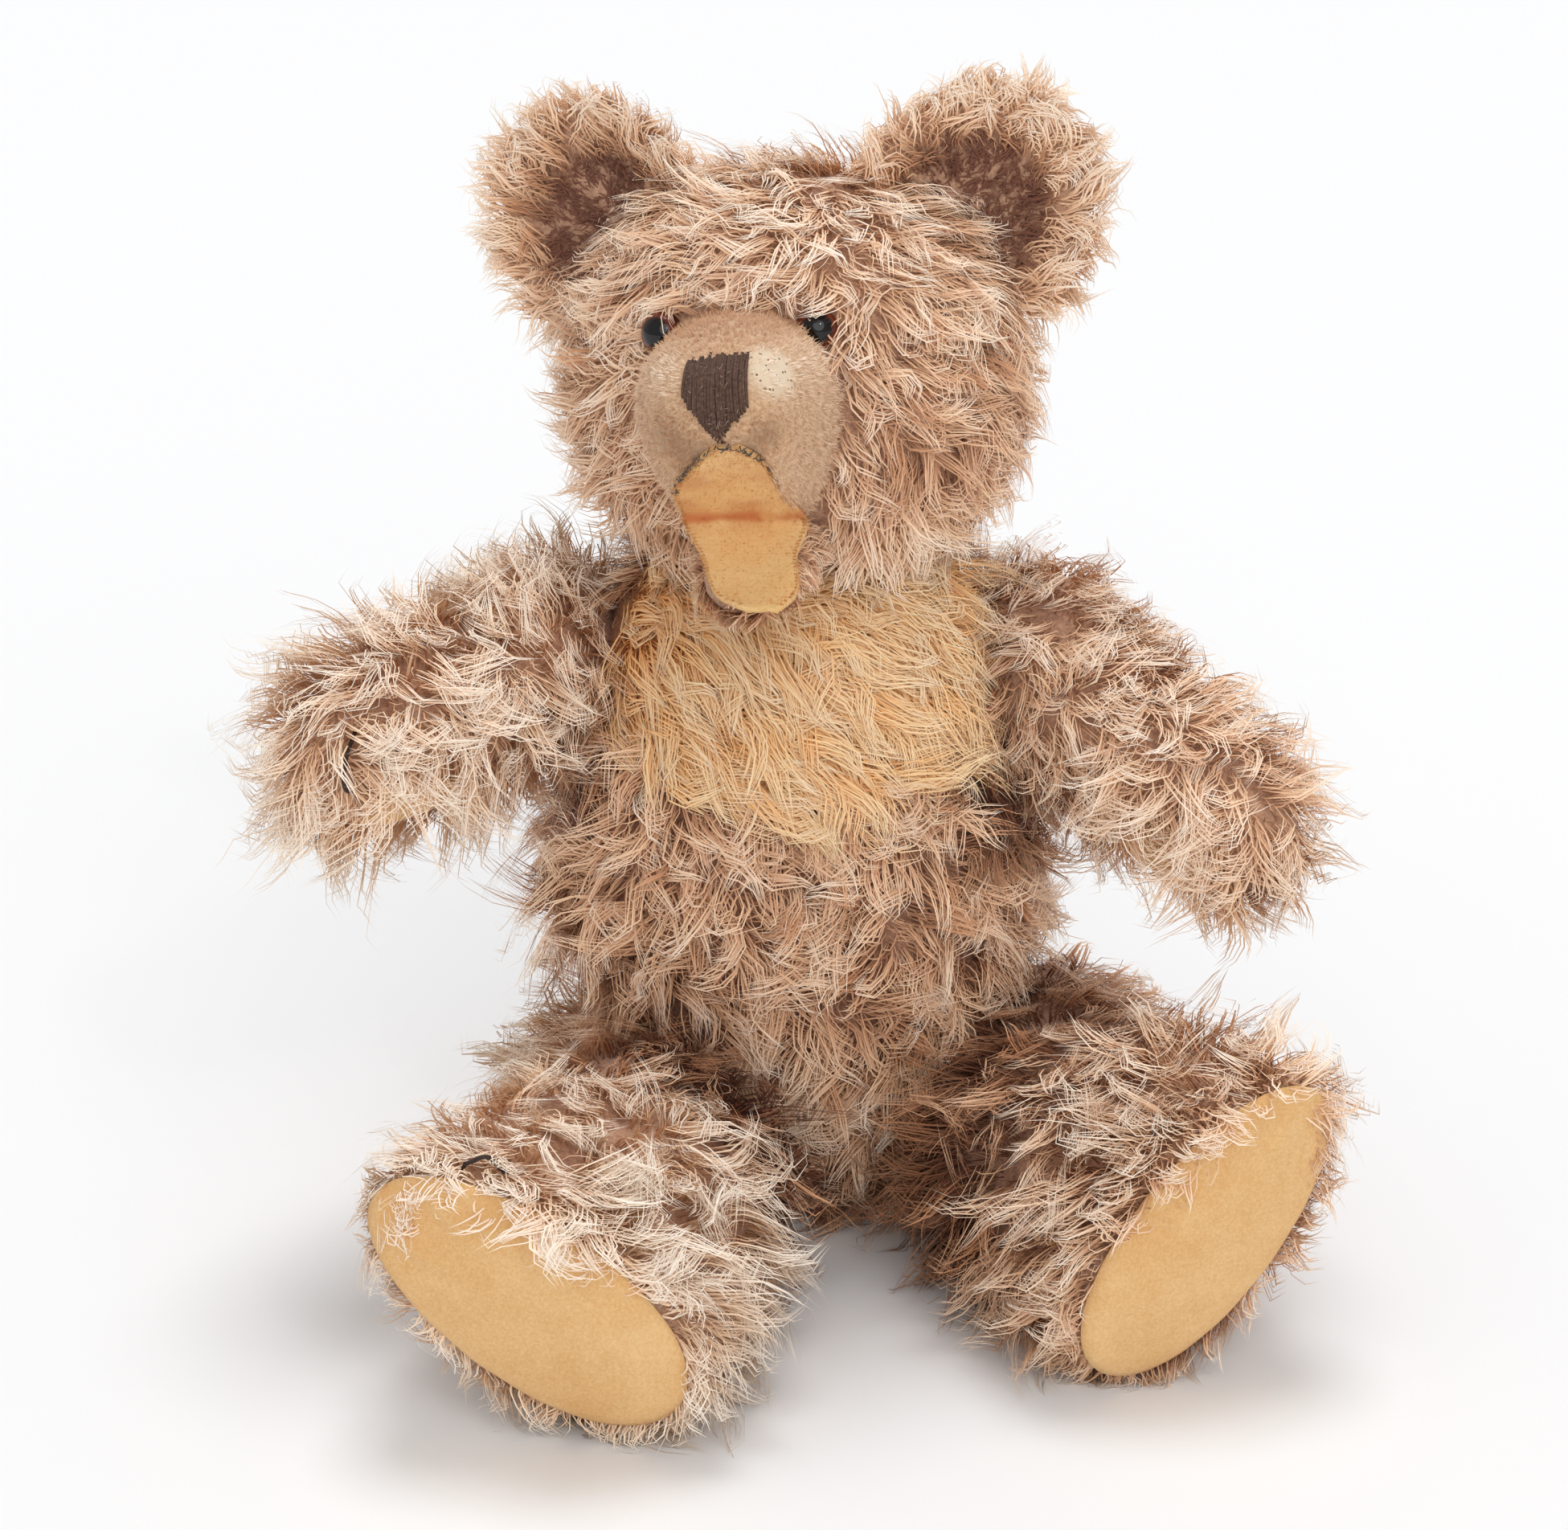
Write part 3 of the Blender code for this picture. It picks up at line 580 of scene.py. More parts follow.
caramel_pile = pile_paint(
    "caramel_mohair",
    [(0.0, "744838"), (0.2, "B27E5C"), (0.5, "DCA278"), (0.75, "F2CAA4"), (1.0, "FCE4CA")],
    [(0.0, "A6745A"), (0.2, "E6B68E"), (0.45, "FCD8B4"), (0.65, "FFE6CC"), (1.0, "FFF2E2")],
)
gold_pile = pile_paint(
    "golden_mohair",
    [(0.0, "D0803C"), (0.3, "FCAE62"), (0.7, "FFD6A0"), (1.0, "FFEBD0")],
    [(0.0, "E8964E"), (0.3, "FFCE8E"), (0.7, "FFE4BA"), (1.0, "FFF4E2")],
)
short_pile = pile_paint(
    "short_pile",
    [(0.0, "B08060"), (0.5, "D8A880"), (1.0, "E4BC94")],
    [(0.0, "CCA07C"), (0.5, "F8D8B8"), (1.0, "FFF2E2")],
)
felt_fuzz = pile_paint(
    "felt_fuzz", [(0.0, "D08C48"), (1.0, "E4A868")], [(0.0, "E0A05C"), (1.0, "F4CC94")]
)
backing = cloth_paint("mohair_backing", "9E745C", "D0A484")
# Darker browns than the backing: the under-pile's colour, with painted shade deep in the belly's pile
torso_cloth = cloth_paint("torso_cloth_caramel_and_gold", "7E5642", "B08468", bib=True)
muzzle_cloth = muzzle_paint("worn_short_pile")
golden_felt = felt_paint("golden_felt", "DEAA6C", "F4CC94")
mouth_felt = felt_paint("mouth_felt", "F2C07A", "FFDEA4", mouth=True)
eye_glass = eye_paint("eye_glass")
nose_thread = plain_paint("nose_thread", "3A2418", "6C4E3E", 1800, 0.75, 0.0003)
frayed_thread = plain_paint("frayed_thread", "7C6452", "C8B4A0", 1800, 0.8, 0.0003)
worn_thread = plain_paint("worn_thread", "3A302C", "766A62", 1800, 0.85, 0.0002)
dark_thread = plain_paint("dark_thread", "1E1814", "443028", 1800, 0.8, 0.0003)
INNER = {  # by a part of the node's name
    "_stuffing": plain_paint("packed_stuffing", "A88E60", "DCC898", 420, 0.95, 0.0015),
    "_disc_": plain_paint("hardboard", "4E3420", "7C5838", 700, 0.85, 0.0002),
    "_washer_": plain_paint("washer_steel", "6E6C68", "A8A6A2", 900, 0.42, 0.00005, Metallic=1.0),
    "_pin": plain_paint("pin_steel", "5E5C58", "96948E", 900, 0.45, 0.00005, Metallic=1.0),
    "_wire": plain_paint("eye_wire_steel", "5E5C58", "96948E", 900, 0.4, 0.00005, Metallic=1.0),
}


# ---------------------------------------------------------------- pile

SOFT_NORMALS = 1.5  # how far a strand's normals turn to the cloth's
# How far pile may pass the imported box: a share of its side, and more
EDGE_SHARE, EDGE_MORE = 0.03, 9.5 * MM
ROOT_DEEP = 0.4  # mm that a strand starts under the cloth
UNDER_RISE = 2.0  # mm that a short strand stands off the cloth at its tip

STYLE = {
    "steps": 5,  # lengths that a strand is bent from
    "locks": 1000,
    "strands": 12,
    "length": 17.0,  # mm along the strand
    "lift": (38.0, 94.0),  # degrees from the normal, at the root and at the tip
    "lift_spread": 14.0,
    "swirl": 0.9,  # radians that the comb wanders
    "swirl_size": 30.0,  # mm
    "curl": 1.6,  # radians that a lock turns sideways over its length
    "wave": 0.55,  # radians that it swings to and fro
    "droop": 0.25,
    "spread": 2.9,  # mm, radius of a lock at its root
    "clump": 0.8,
    "frizz": 0.34,  # mm
    "stray": 0.07,  # share of strands that leave their lock
    "under": 0.2,  # share of strands that stay short between the locks
    "width": 0.33,  # mm
    "tone": 0.5,
    "tone_spread": 0.27,
    "ripening": 1.0,  # power of the way along a strand in its colour: more keeps it dark for longer
}


def lock_lines(s, rng, root, normal, lean, aside, long, stand):
    """The line of each lock: it starts at an angle to the normal, leans over, turns, waves and droops."""
    count, steps = len(root), s["steps"]
    first, last = (math.radians(a) for a in s["lift"])
    tilt = rng.normal(0, math.radians(s["lift_spread"]), count)[:, None]
    turn = 0.5 * ripple(root, 19 * MM, s["seed"] + 2) + rng.normal(0, 0.5, count)
    turn = s["curl"] * (turn + 0.45 * np.sign(turn))[:, None]
    middle = (np.arange(steps) + 0.5) / steps
    angle = first + (last - first) * middle**0.6 + tilt * (1 - 0.4 * middle)
    angle = angle - math.radians(38) * stand[:, None] * (1 - 0.5 * middle)
    pace = 2 * np.pi * (rng.uniform(0.6, 1.3, (count, 1)) * middle + rng.random((count, 1)))
    swing = s["wave"] * rng.uniform(0.3, 1.4, (count, 1)) * np.sin(pace)
    sideways = 1.3 * turn * (middle**1.7 - 0.12) + swing
    way = (
        normal[:, None] * np.cos(angle)[..., None]
        + lean[:, None] * (np.sin(angle) * np.cos(sideways))[..., None]
        + aside[:, None] * (np.sin(angle) * np.sin(sideways))[..., None]
    )
    way[..., 2] -= s["droop"] * middle * (0.5 + rng.random((count, 1)))
    way = unit(way) * (long / steps)[:, None, None]
    return np.concatenate([np.zeros((count, 1, 3)), np.cumsum(way, axis=1)], axis=1)


def paired(values):
    """Values of a strand's places for its ribbon: twice at each place, and once at its end."""
    return np.concatenate([values[:, :-1].repeat(2, axis=1), values[:, -1:]], 1)


def ribbons(name, strand, facing, half, shade, v):
    """Each strand as a narrow ribbon: pairs of points beside its line, and one at its end.

    The map holds the strand's shade across and its place from root to tip along. Its normals are
    its own, turned part of the way to the cloth's, so that a lock is shaded as one.
    """
    total, steps = strand.shape[0], strand.shape[1] - 1
    heading = unit(np.gradient(strand, axis=1))
    reach = unit(np.cross(heading, facing)) * half[..., None]
    pairs = np.stack([strand - reach, strand + reach], 2)[:, :-1].reshape(total, -1, 3)
    places = np.concatenate([pairs, strand[:, -1:]], 1)
    lowest = FLOOR_RISE * np.abs(np.sin(7e3 * places[:, :1, 0]))  # by strand, so that they lie apart
    places[..., 2] = np.maximum(places[..., 2], lowest)
    low, high = np.array(cad_box)
    edge = EDGE_SHARE * (high - low) + EDGE_MORE
    places = np.clip(places, low - edge, high + edge)
    each = 2 * steps + 1
    step = np.arange(steps - 1) * 2
    quads = np.stack([step, step + 1, step + 3, step + 2], -1).ravel()
    plan = np.concatenate([quads, [each - 3, each - 2, each - 1]])
    faces = (np.arange(total)[:, None] * each + plan).ravel()
    sides = np.tile([4] * (steps - 1) + [3], total)
    u = shade[:, None] + np.append(np.tile([0, 0.006], steps), 0.003)
    coords = np.stack([u, paired(v) * 0.98 + 0.01], -1).reshape(-1, 2)
    mesh = new_mesh(name, places.reshape(-1, 3), faces, sides, ("OFBake", coords))
    flat = unit(facing - heading * dot(heading, facing))
    soft = unit(flat + SOFT_NORMALS * facing)
    mesh.normals_split_custom_set_from_vertices(paired(soft).reshape(-1, 3))
    return mesh


def pile(name, body, shape, comb, seed, weight, size=None, tint=None, trim=None, stand=None,
         material=caramel_pile, slot="mohair", **style):
    """Grows the pile of one form in locks.

    A strand starts within its lock's spread, closes on the lock's line, runs beside it, closes again
    to the tip and waves a little of its own. A few leave their lock and stand looser. Weight, comb,
    size and tint give its density, direction, length and shade by place, stand gives how much it
    stands up, and trim picks what stays.
    """
    s = {**STYLE, **style, "seed": seed}
    rng = np.random.default_rng(seed)
    count, steps = s["locks"], s["steps"]
    root, normal = scatter(shape, count, rng, weight)
    lean = comb(root, normal)
    lean = unit(lean - normal * dot(lean, normal))
    aside = np.cross(normal, lean)
    wander = s["swirl"] * ripple(root, s["swirl_size"] * MM, seed + 1) + rng.normal(0, 0.25, count)
    wander = wander[:, None]
    lean, aside = circle(wander, lean, aside), circle(wander, aside, -lean)
    upright = stand(root, normal) if stand else np.zeros(count)
    long = s["length"] * MM * rng.uniform(0.75, 1.15, count) * (size(root) if size else 1.0)
    long = long * (1 + 0.25 * upright)
    line = lock_lines(s, rng, root, normal, lean, aside, long, upright)

    # Strands, by their lock
    lock = np.repeat(np.arange(count), s["strands"])
    total = len(lock)
    normals, asides = normal[lock][:, None], aside[lock][:, None]
    at = np.linspace(0, 1, steps + 1)
    ring = rng.uniform(0, 2 * np.pi, total)[:, None]
    offset = s["spread"] * MM * np.sqrt(rng.random((total, 1)))
    offset = offset * circle(ring, lean[lock], aside[lock])
    loose = (rng.random((total, 1)) < s["stray"]) * 1.0
    short = (rng.random((total, 1)) < s["under"]) * (1 - loose)
    tight = s["clump"] * rng.uniform(0.75, 1.15, (total, 1)) * (1 - 0.8 * loose) * (1 - short)
    closing = (1 - 0.35 * tight * ramp(at, 0, 0.5)) * (1 - tight * ramp(at, 0.45, 1.15))
    closing = closing * (1 + 0.5 * short)
    share = rng.uniform(0.62, 1.06, (total, 1)) * (1 + 0.12 * loose) * (1 - 0.5 * short)
    strand = root[lock][:, None] - normals * ROOT_DEEP * MM
    strand = strand + offset[:, None] * closing[..., None] + line[lock] * share[..., None]
    strand = strand + normals * (UNDER_RISE * MM * short * at)[..., None]
    phase = rng.uniform(0, 2 * np.pi, (2, total, 1))
    pitch = rng.uniform(3.5, 8.0, (total, 1))
    wave = np.sin(phase + pitch * at) - np.sin(phase)
    swing = s["frizz"] * MM * at**0.8 * rng.uniform(0.3, 1.5, (total, 1)) * (1 + 3 * loose)
    strand = strand + asides * (swing * wave[0])[..., None]
    strand = strand + normals * (swing * wave[1])[..., None] * 0.6

    # How each faces, its half width, and its colours
    roll = rng.normal(0, 0.2, total)[:, None, None]
    facing = circle(roll, normals, asides)
    half = s["width"] * MM / 2 * rng.uniform(0.7, 1.3, (total, 1))
    half = half * (1 - 0.75 * at**3) * (1 - 0.3 * loose)
    shift = tint(root, normal) if tint else np.zeros(count)
    ripe = np.clip(1 + np.where(shift > 0, 0.5, 0.9) * shift, 0.3, 1.5) * rng.uniform(0.75, 1.0, count)
    shade = s["tone"] + shift + rng.normal(0, s["tone_spread"], count)
    shade = np.clip(shade[lock] + rng.normal(0, 0.08, total), 0, 1) * 0.99
    v = at * np.minimum(share, 1.0) * ripe[lock][:, None] + 0.22 * shift[lock][:, None]
    v = np.clip(v, 0, 1) ** s["ripening"]
    if trim:
        kept = trim(strand, rng.random(total))
        strand, facing, half, shade, v = (part[kept] for part in (strand, facing, half, shade, v))
    return new_piece(name, ribbons(name, strand, facing, half, shade, v), material, body)


# ---------------------------------------------------------------- torso


def cloth_skin(part, shape, body, material=backing, node=None):
    """A padded cloth skin on its form. It stands for one CAD node."""
    name = f"{part}_cloth"
    mesh = closed_mesh(name, shape["points"])
    skin = new_piece(name, mesh, material, body, [node or f"{part}_skin"])


LIES_FLAT = {"shoulder": 0.014, "hip": 0.026}  # how far round a joint a limb hides the torso's cloth


def by_joint(joint, points):
    """How far points are out along a joint's axis, and how far from its middle."""
    axis = unit(np.array(joint["axis"], float))
    return ((points - joint["pos_m"]) * axis).sum(-1), distance(points, joint["pos_m"])


def torso_parts():
    """The torso's cloth with its caramel pile, and the golden bib's pile on its front."""
    shape = form(["torso_skin", "chest_bib"], (0.007, -0.001, 0.035), (0.002, -0.001, 0.115),
                 swell=1.5 * MM)
    cloth_skin("torso", shape, "torso", torso_cloth)
    thin_patch = np.array([-0.0245, -0.058, 0.092])

    def bib(points):
        """Less than 1 within the bib's oval, on the front only."""
        x, y, z = np.moveaxis(points, -1, 0)
        return np.where(y < -0.012, bib_oval(x, z), 9.0)

    def seen(points):
        """1 but where a limb or the head lies against the cloth, or under the seat."""
        share = 1.0
        for name, joint in JOINTS.items():
            if name != "neck":
                out, away = by_joint(joint, points)
                hidden = (away < LIES_FLAT[name.split("_")[1]]) & (out > -0.003)
                share = np.where(hidden, 0.02, share)
        return share * np.where(points[..., 2] > 0.147, 0.3, 1) * np.where(points[..., 2] < 0.003, 0, 1)

    def caramel(points, normals, owner):
        """All but the bib, thinner behind."""
        front = ramp(-points[..., 1], -0.02, 0.01)
        return seen(points) * (0.55 + 0.45 * front) * (bib(points) > 0.97)

    def gold(points, normals, owner):
        return seen(points) * (bib(points) <= 1.0)

    def down(points, normals):
        """Down, and in towards the middle low on the belly."""
        x, z = points[:, 0], points[:, 2]
        inward = -(x - 0.004) / 0.05 * ramp(0.09 - z, 0, 0.06) * 0.9
        spill = ramp(0.035 - z, 0, 0.02) * (points[:, 1] < 0)
        return np.stack([inward, -1.3 * spill, -np.ones_like(x)], -1)

    def across(points, normals):
        """To the bear's left and down."""
        return np.broadcast_to((1.0, 0, -0.62), points.shape)

    def worn(points):
        """How near the thin patch on the belly is."""
        return 1 - ramp(distance(points, thin_patch), 0.008, 0.02)

    def waist(points):
        """1 at the bear's right hip."""
        return ramp(-points[:, 0], 0.015, 0.035) * (1 - ramp(np.abs(points[:, 2] - 0.048), 0.02, 0.04))

    def seat(points):
        """1 at the bottom edge."""
        return ramp(0.03 - points[:, 2], 0, 0.02)

    def size(points):
        return 1 - 0.35 * worn(points) + 0.3 * waist(points) + 0.3 * seat(points)

    def tint(points, normals):
        # Painted shade: darker at the seat's bottom edge and at the armpits. Also darker on the thin worn
        # patch, paler low on the belly and at the sides
        low = ramp(0.075 - points[:, 2], 0, 0.05) - 3.0 * seat(points)
        armpit = ramp(np.abs(points[:, 0]), 0.030, 0.042) * ramp(points[:, 2], 0.08, 0.1)
        return -0.35 * worn(points) + 0.15 * low + 0.3 * np.abs(normals[:, 0]) - 0.9 * armpit

    def stand(points, normals):
        """Fuller at the sides, most at the bear's right hip."""
        return 0.1 + 0.2 * np.abs(normals[:, 0]) + 0.35 * waist(points)

    pile("torso_pile", "torso", shape, down, 11, caramel, size, tint, stand=stand, locks=1300,
         strands=16, length=19.5, swirl=1.7, swirl_size=24.0, curl=1.9, wave=0.75, spread=3.5,
         clump=0.88, tone=0.73, tone_spread=0.46, ripening=1.2)
    bib_pile = pile("bib_pile", "torso", shape, across, 12, gold, material=gold_pile, slot="gold_mohair",
                    locks=420, strands=20, length=23.0, lift=(44.0, 96.0), lift_spread=10.0, swirl=0.4,
                    curl=0.7, wave=0.65, spread=3.4, tone=1.0, ripening=0.85)
    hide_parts("chest_bib")


# ---------------------------------------------------------------- head


def ear_shape(sign):
    """An ear: a flat ball, cupped forward in proportion to the squared distance from its middle."""
    tilt = np.linspace(-np.pi / 2, np.pi / 2, 25)[:, None]
    turn = full_turn(48)[None, :]
    x, z = np.cos(tilt) * np.cos(turn), np.cos(tilt) * np.sin(turn)
    y = -np.sin(tilt) + 0 * turn
    rim = x * x + z * z
    local = np.stack([22.5 * x, 4.5 * y - 7.0 * rim, 25.5 * z], -1)
    lean, swing = math.radians(sign * 40), math.radians(sign * 16)
    set_on = np.array(Matrix.Rotation(swing, 3, "Z") @ Matrix.Rotation(lean, 3, "Y"))
    points = from_head(local @ set_on.T + (sign * 37.5, 3.0, 27.5))
    behind = HEAD_TURN @ set_on @ (0, 1, 0)
    return with_normals(points, behind, -behind, np.zeros(points.shape[:2], int))


def on_muzzle(x, z):
    """Points on the muzzle's front wall, by x and height in the head frame."""
    starts = from_head(np.stack([x, np.full(x.shape, -30.0), z], -1))
    return starts + AHEAD * cast(["muzzle_skin"], starts, AHEAD)[0][..., None]


def away_from(spot):
    """A comb that runs away from a spot."""
    return lambda points, normals: points - spot


def head_pile(skull):
    """The head's long pile, parted over the left eye and kept off the muzzle and the eyes."""

    def beside_muzzle(points):
        """Less than 1 where the muzzle sits."""
        x, y, z = head_xyz(points)
        return np.hypot((x + 4.8) / 18.6, (z + 10.5) / 20.5)

    def comb(points, normals):
        """From a parting over the left eye to both sides; down the cheeks, away from the muzzle."""
        x, y, z = head_xyz(points)
        side = np.tanh((x - 15) / 9)
        brow = np.stack([side * 1.1, -0.5 * np.exp(-(side**2) * 4), -0.55 - 0.35 * ramp(-x, 5, 30)], -1)
        brow = brow @ HEAD_TURN.T
        left = ramp(x, 2, 14)
        away = unit(points - from_head((-2, -52, -6))) * (1 - 0.35 * left)[:, None]
        away = away + np.stack([0 * x, 0 * x, -0.35 - 0.4 * left], -1)
        front = ramp(z, 2, 20)[:, None]
        back = ramp(y, 5, 20)[:, None]
        return (brow * front + away * (1 - front)) * (1 - back) + back * np.array([0, 0.2, -1.0])

    def grown(points, normals, owner):
        x, y, z = head_xyz(points)
        face = (y < 0) & (beside_muzzle(points) < 1)
        jaw = (y < 0) & (np.abs(x + 1) < 11) & (z < -20)
        neck = points[..., 2] < 0.150
        return np.where(face | jaw, 0.0, 1.0) * np.where(neck, 0.1, 1) * (0.6 + 0.4 * (y < 8))

    def trim(strand, draw):
        """Few strands cross the muzzle or the eyes."""
        x, y, z = head_xyz(strand)
        muzzle = (y < -34) & (np.hypot((x + 4.0) / 17.0, (z + 9) / 18.5) < 1)
        mouth = (y < -30) & (np.abs(x - 0.5) < 10.5) & (z < -14) & (z > -50)
        eyes = (np.hypot(np.abs(x + 3.8) - 16.6, z - 6.2) < np.where(x < 0, 2.2, 3.4)) & (y < -34)
        brow, right = z[:, 0] > 8, x[:, 0] < 0
        across = (muzzle | mouth).any(axis=1) & (draw > np.where(brow, 0.35, 0.02))
        kept = np.where(brow, np.where(right, 1.0, 0.35), np.where(right, 0.4, 0.15))
        return ~(across | (eyes.any(axis=1) & (draw > kept)))

    def size(points):
        """Shorter beside the muzzle."""
        edge = ramp(beside_muzzle(points), 1.0, 1.5)
        return np.where(head_xyz(points)[1] < -10, 0.62 + 0.38 * edge, 1.0)

    def tint(points, normals):
        """Paler under the chin and darker on the left cheek; paler on the crown and at the parting,
        painted light over the shade of the standing pile and its roots.
        """
        x, y, z = head_xyz(points)
        chin = ramp(-z, 22, 36) * ramp(x, 4, 14)
        cheek = ramp(x, 12, 26) * ramp(-z, -12, 6)
        crown = ramp(z, 18, 36)
        parting = np.exp(-(((x - 15) / 9) ** 2)) * ramp(z, 14, 26)
        return 0.27 + 0.2 * chin - 0.3 * cheek * (1 - chin) + 0.15 * crown + 0.35 * parting

    def stand(points, normals):
        """Fuller on the crown and on the cheek beside the muzzle."""
        near = (1 - ramp(beside_muzzle(points), 1.0, 1.4)) * ramp(head_xyz(points)[0], 0, 10)
        return 0.25 * ramp(normals[:, 2], 0.4, 0.9) + 0.55 * near

    pile("head_pile", "head", skull, comb, 13, grown, size, tint, trim, stand, locks=1490,
         length=17.5, swirl=0.62, curl=1.1, wave=0.75)


def ear_parts(side, sign):
    """A cupped ear, with short pile in the cup, darkened there as painted shade, and pale longer pile
    round the rim.
    """
    shape = ear_shape(sign)
    cloth_skin(f"{side}_ear", shape, "head", node=f"{side}_ear")
    base = from_head((sign * 26, 2, 16))
    middle = from_head((sign * 37.5, 0, 27.5))

    def free(points, normals, owner):
        """0 inside the head's pile."""
        x, y, z = head_xyz(points)
        away = np.sqrt((x / 46) ** 2 + (y / 42) ** 2 + ((z + 3) / 42) ** 2)
        return np.where(away > 1.0, 1.0, 0.0)

    def size(points):
        return 0.4 + 0.6 * ramp(distance(points, middle), 0.008, 0.022)

    def tint(points, normals):
        """Painted shade: dark deep in the cup and at the ear's base."""
        cup = (1 - ramp(distance(points, middle), 0.010, 0.021)) * (dot(normals, AHEAD)[..., 0] > 0.3)
        deep = 1 - ramp(distance(points, base), 0.008, 0.02)
        return 0.45 - 1.5 * np.maximum(cup, deep)

    pile(f"{side}_ear_pile", "head", shape, away_from(base), 15 + sign, free, size, tint, locks=370,
         length=12.5, swirl=0.5, curl=1.2, under=0.1)


def muzzle_parts():
    """The muzzle: worn plush on an oval form, whose underside is drawn down on both sides of the mouth."""
    mouth = (from_head((0, -70, -12)), HEAD_TURN @ unit(np.array([0, -0.545, -0.838])))
    shape = form(["muzzle_skin"], from_head((-3.2, -30, -8)), from_head((-1.2, -56, -6)), (16, 14), 72,
                 [mouth])
    local = to_head(shape["points"])
    x, y, z = np.moveaxis(local, -1, 0)
    low = ramp(-z, 6, 26)
    lobe = ramp(np.where(x < -1.5, -4.0 - x, x + 1.5), 6.5, 12.0)
    local[..., 2] -= 6.5 * low * lobe
    local[..., 0] -= 0.06 * (x + 1.5) * low + 0.09 * np.maximum(x - 2, 0)
    local[..., 2] -= 0.1 * np.maximum(z - 4, 0)
    shape["points"] = from_head(local)
    cloth_skin("muzzle", shape, "head", muzzle_cloth)

    def grown(points, normals, owner):
        """Sparse on the rubbed patch, none under the nose or in the mouth."""
        x, y, z = head_xyz(points)
        rubbed = np.hypot(x - 9.0, z - 1.0) < 4.2
        nose = (np.abs(x + 0.8) < 6.0 - np.maximum(-4 - z, 0) * 0.7) & (np.abs(z + 3.5) < 7.5) & (y < -50)
        inside = (np.abs(x + 1) < 7) & (z < -13)
        return np.where(nose | inside | (y > -20), 0.0, np.where(rubbed, 0.45, 1.0))

    def tint(points, normals):
        """Pale beside the nose, soiled under it, darker towards the top."""
        x, y, z = head_xyz(points)
        pale = np.exp(-np.hypot(x - 9.5, z - 1) ** 2 / 22) + np.exp(-np.hypot(x + 11, z - 1) ** 2 / 14)
        soil = np.exp(-np.hypot(x + 9, z + 11) ** 2 / 40) + np.exp(-np.hypot(x - 6, z + 10.5) ** 2 / 16)
        return 0.9 * pale - 0.6 * soil - 0.4 * ramp(z, 0, 9)

    pile("muzzle_pile", "head", shape, away_from(from_head((0, -66, -3))), 41, grown, tint=tint,
         material=short_pile, slot="short_pile", steps=2, locks=2700, strands=5, length=2.2,
         lift=(10, 55), swirl=0.3, curl=0.4, wave=0.2, droop=0.0, spread=0.9, clump=0.15, frizz=0.1,
         stray=0.02, under=0.0, width=0.17, tone=0.45, tone_spread=0.08)


def jaw_parts():
    """The lower jaw under the mouth felt, with its fringe of short caramel pile."""
    under_felt = (from_head((0, -41.5, -30.5)), HEAD_TURN @ unit(np.array([0, -0.59, 0.80])))
    shape = form(["jaw_skin"], from_head((-1.5, -38, -38)), from_head((-0.6, -54, -43)), (12, 8), 40,
                 [under_felt])
    cloth_skin("jaw", shape, "head")

    def grown(points, normals, owner):
        """None on the felt's side or towards the throat."""
        x, y, z = head_xyz(points)
        over = -0.59 * (y + 41.5) + 0.80 * (z + 30.5)
        return np.where((over > -2.0) | (y > -34), 0.0, 1.0)

    pile("jaw_pile", "head", shape, away_from(from_head((0, -46, -34))), 43, grown, locks=210,
         strands=10, length=8.0, curl=1.2, spread=2.0, tone=0.6)


# The mouth's felt from the lip back to the crease and out along the jaw: x, y, height, half width
MOUTH_FELT = np.array([
    (-0.3, -69.0, -13.6, 2.4),
    (0.0, -65.5, -16.4, 6.6),
    (-2.4, -59.0, -20.4, 9.6),
    (-3.2, -52.0, -24.9, 11.6),
    (-2.7, -47.0, -28.3, 12.3),
    (-2.1, -44.6, -30.6, 12.5),
    (-1.5, -46.8, -32.8, 11.6),
    (-0.3, -51.5, -36.6, 9.8),
    (1.6, -57.0, -40.6, 8.8),
    (3.3, -61.3, -43.8, 8.2),
    (4.3, -63.2, -45.2, 5.8),
    (4.8, -64.2, -46.0, 2.8),
])


def run_along(line):
    """Distance from the first point of a line to each of its points, along it."""
    return np.append(0, np.cumsum(np.linalg.norm(np.diff(line, axis=0), axis=1)))


def read_line(spot, run, line):
    """Values of a line's columns at some distances along it."""
    return np.stack([np.interp(spot, run, column) for column in line.T], -1)


def mouth_rows(count=57):
    """The felt's table with its rows spaced evenly along its line and softened, ends held."""
    run = run_along(MOUTH_FELT[:, :3])
    table = read_line(np.linspace(0, run[-1], count), run, MOUTH_FELT)
    for _ in range(10):
        table[1:-1] = (table[:-2] + 2 * table[1:-1] + table[2:]) / 4
    return table


def mouth_parts():
    """The mouth's felt: one strip, hollow along the palate and dished along the jaw."""
    table = mouth_rows()
    across = np.linspace(-1, 1, 25)[None, :]
    x, y, z, wide = (column[:, None] for column in table.T)
    share = np.linspace(0, 1, len(table))[:, None]
    bent = 1 - across**2
    wide = wide * (1 + 0.03 * np.sin(23 * share + 1))
    relief = 0.5 * np.sin(9 * share * np.pi + 2.2 * across) * np.sin(2.6 * across + 4 * share)
    roof, tongue = 1 - ramp(share, 0.42, 0.5), ramp(share, 0.55, 0.75)
    back = 1.8 * bent * roof - 0.9 * (1 - bent) * tongue + 0.5 * relief
    points = np.stack([x + wide * across, y + back, z + 0.4 * relief], -1)
    normals = unit(np.cross(np.gradient(points, axis=0), np.gradient(points, axis=1)))
    half_thick = 0.7
    front, rear = points + normals * half_thick, points - normals * half_thick
    loop = np.concatenate([front, rear[:, ::-1]], axis=1)
    ends = [end.mean(1, keepdims=True) + 0 * end for end in (loop[:1], loop[-1:])]
    mesh = closed_mesh("mouth_felt", from_head(np.concatenate([ends[0], loop, ends[1]])), "felt_map")
    felt = new_piece("mouth_felt", mesh, mouth_felt, "head", ["mouth_lining"])
    mouth_fuzz(front, normals)


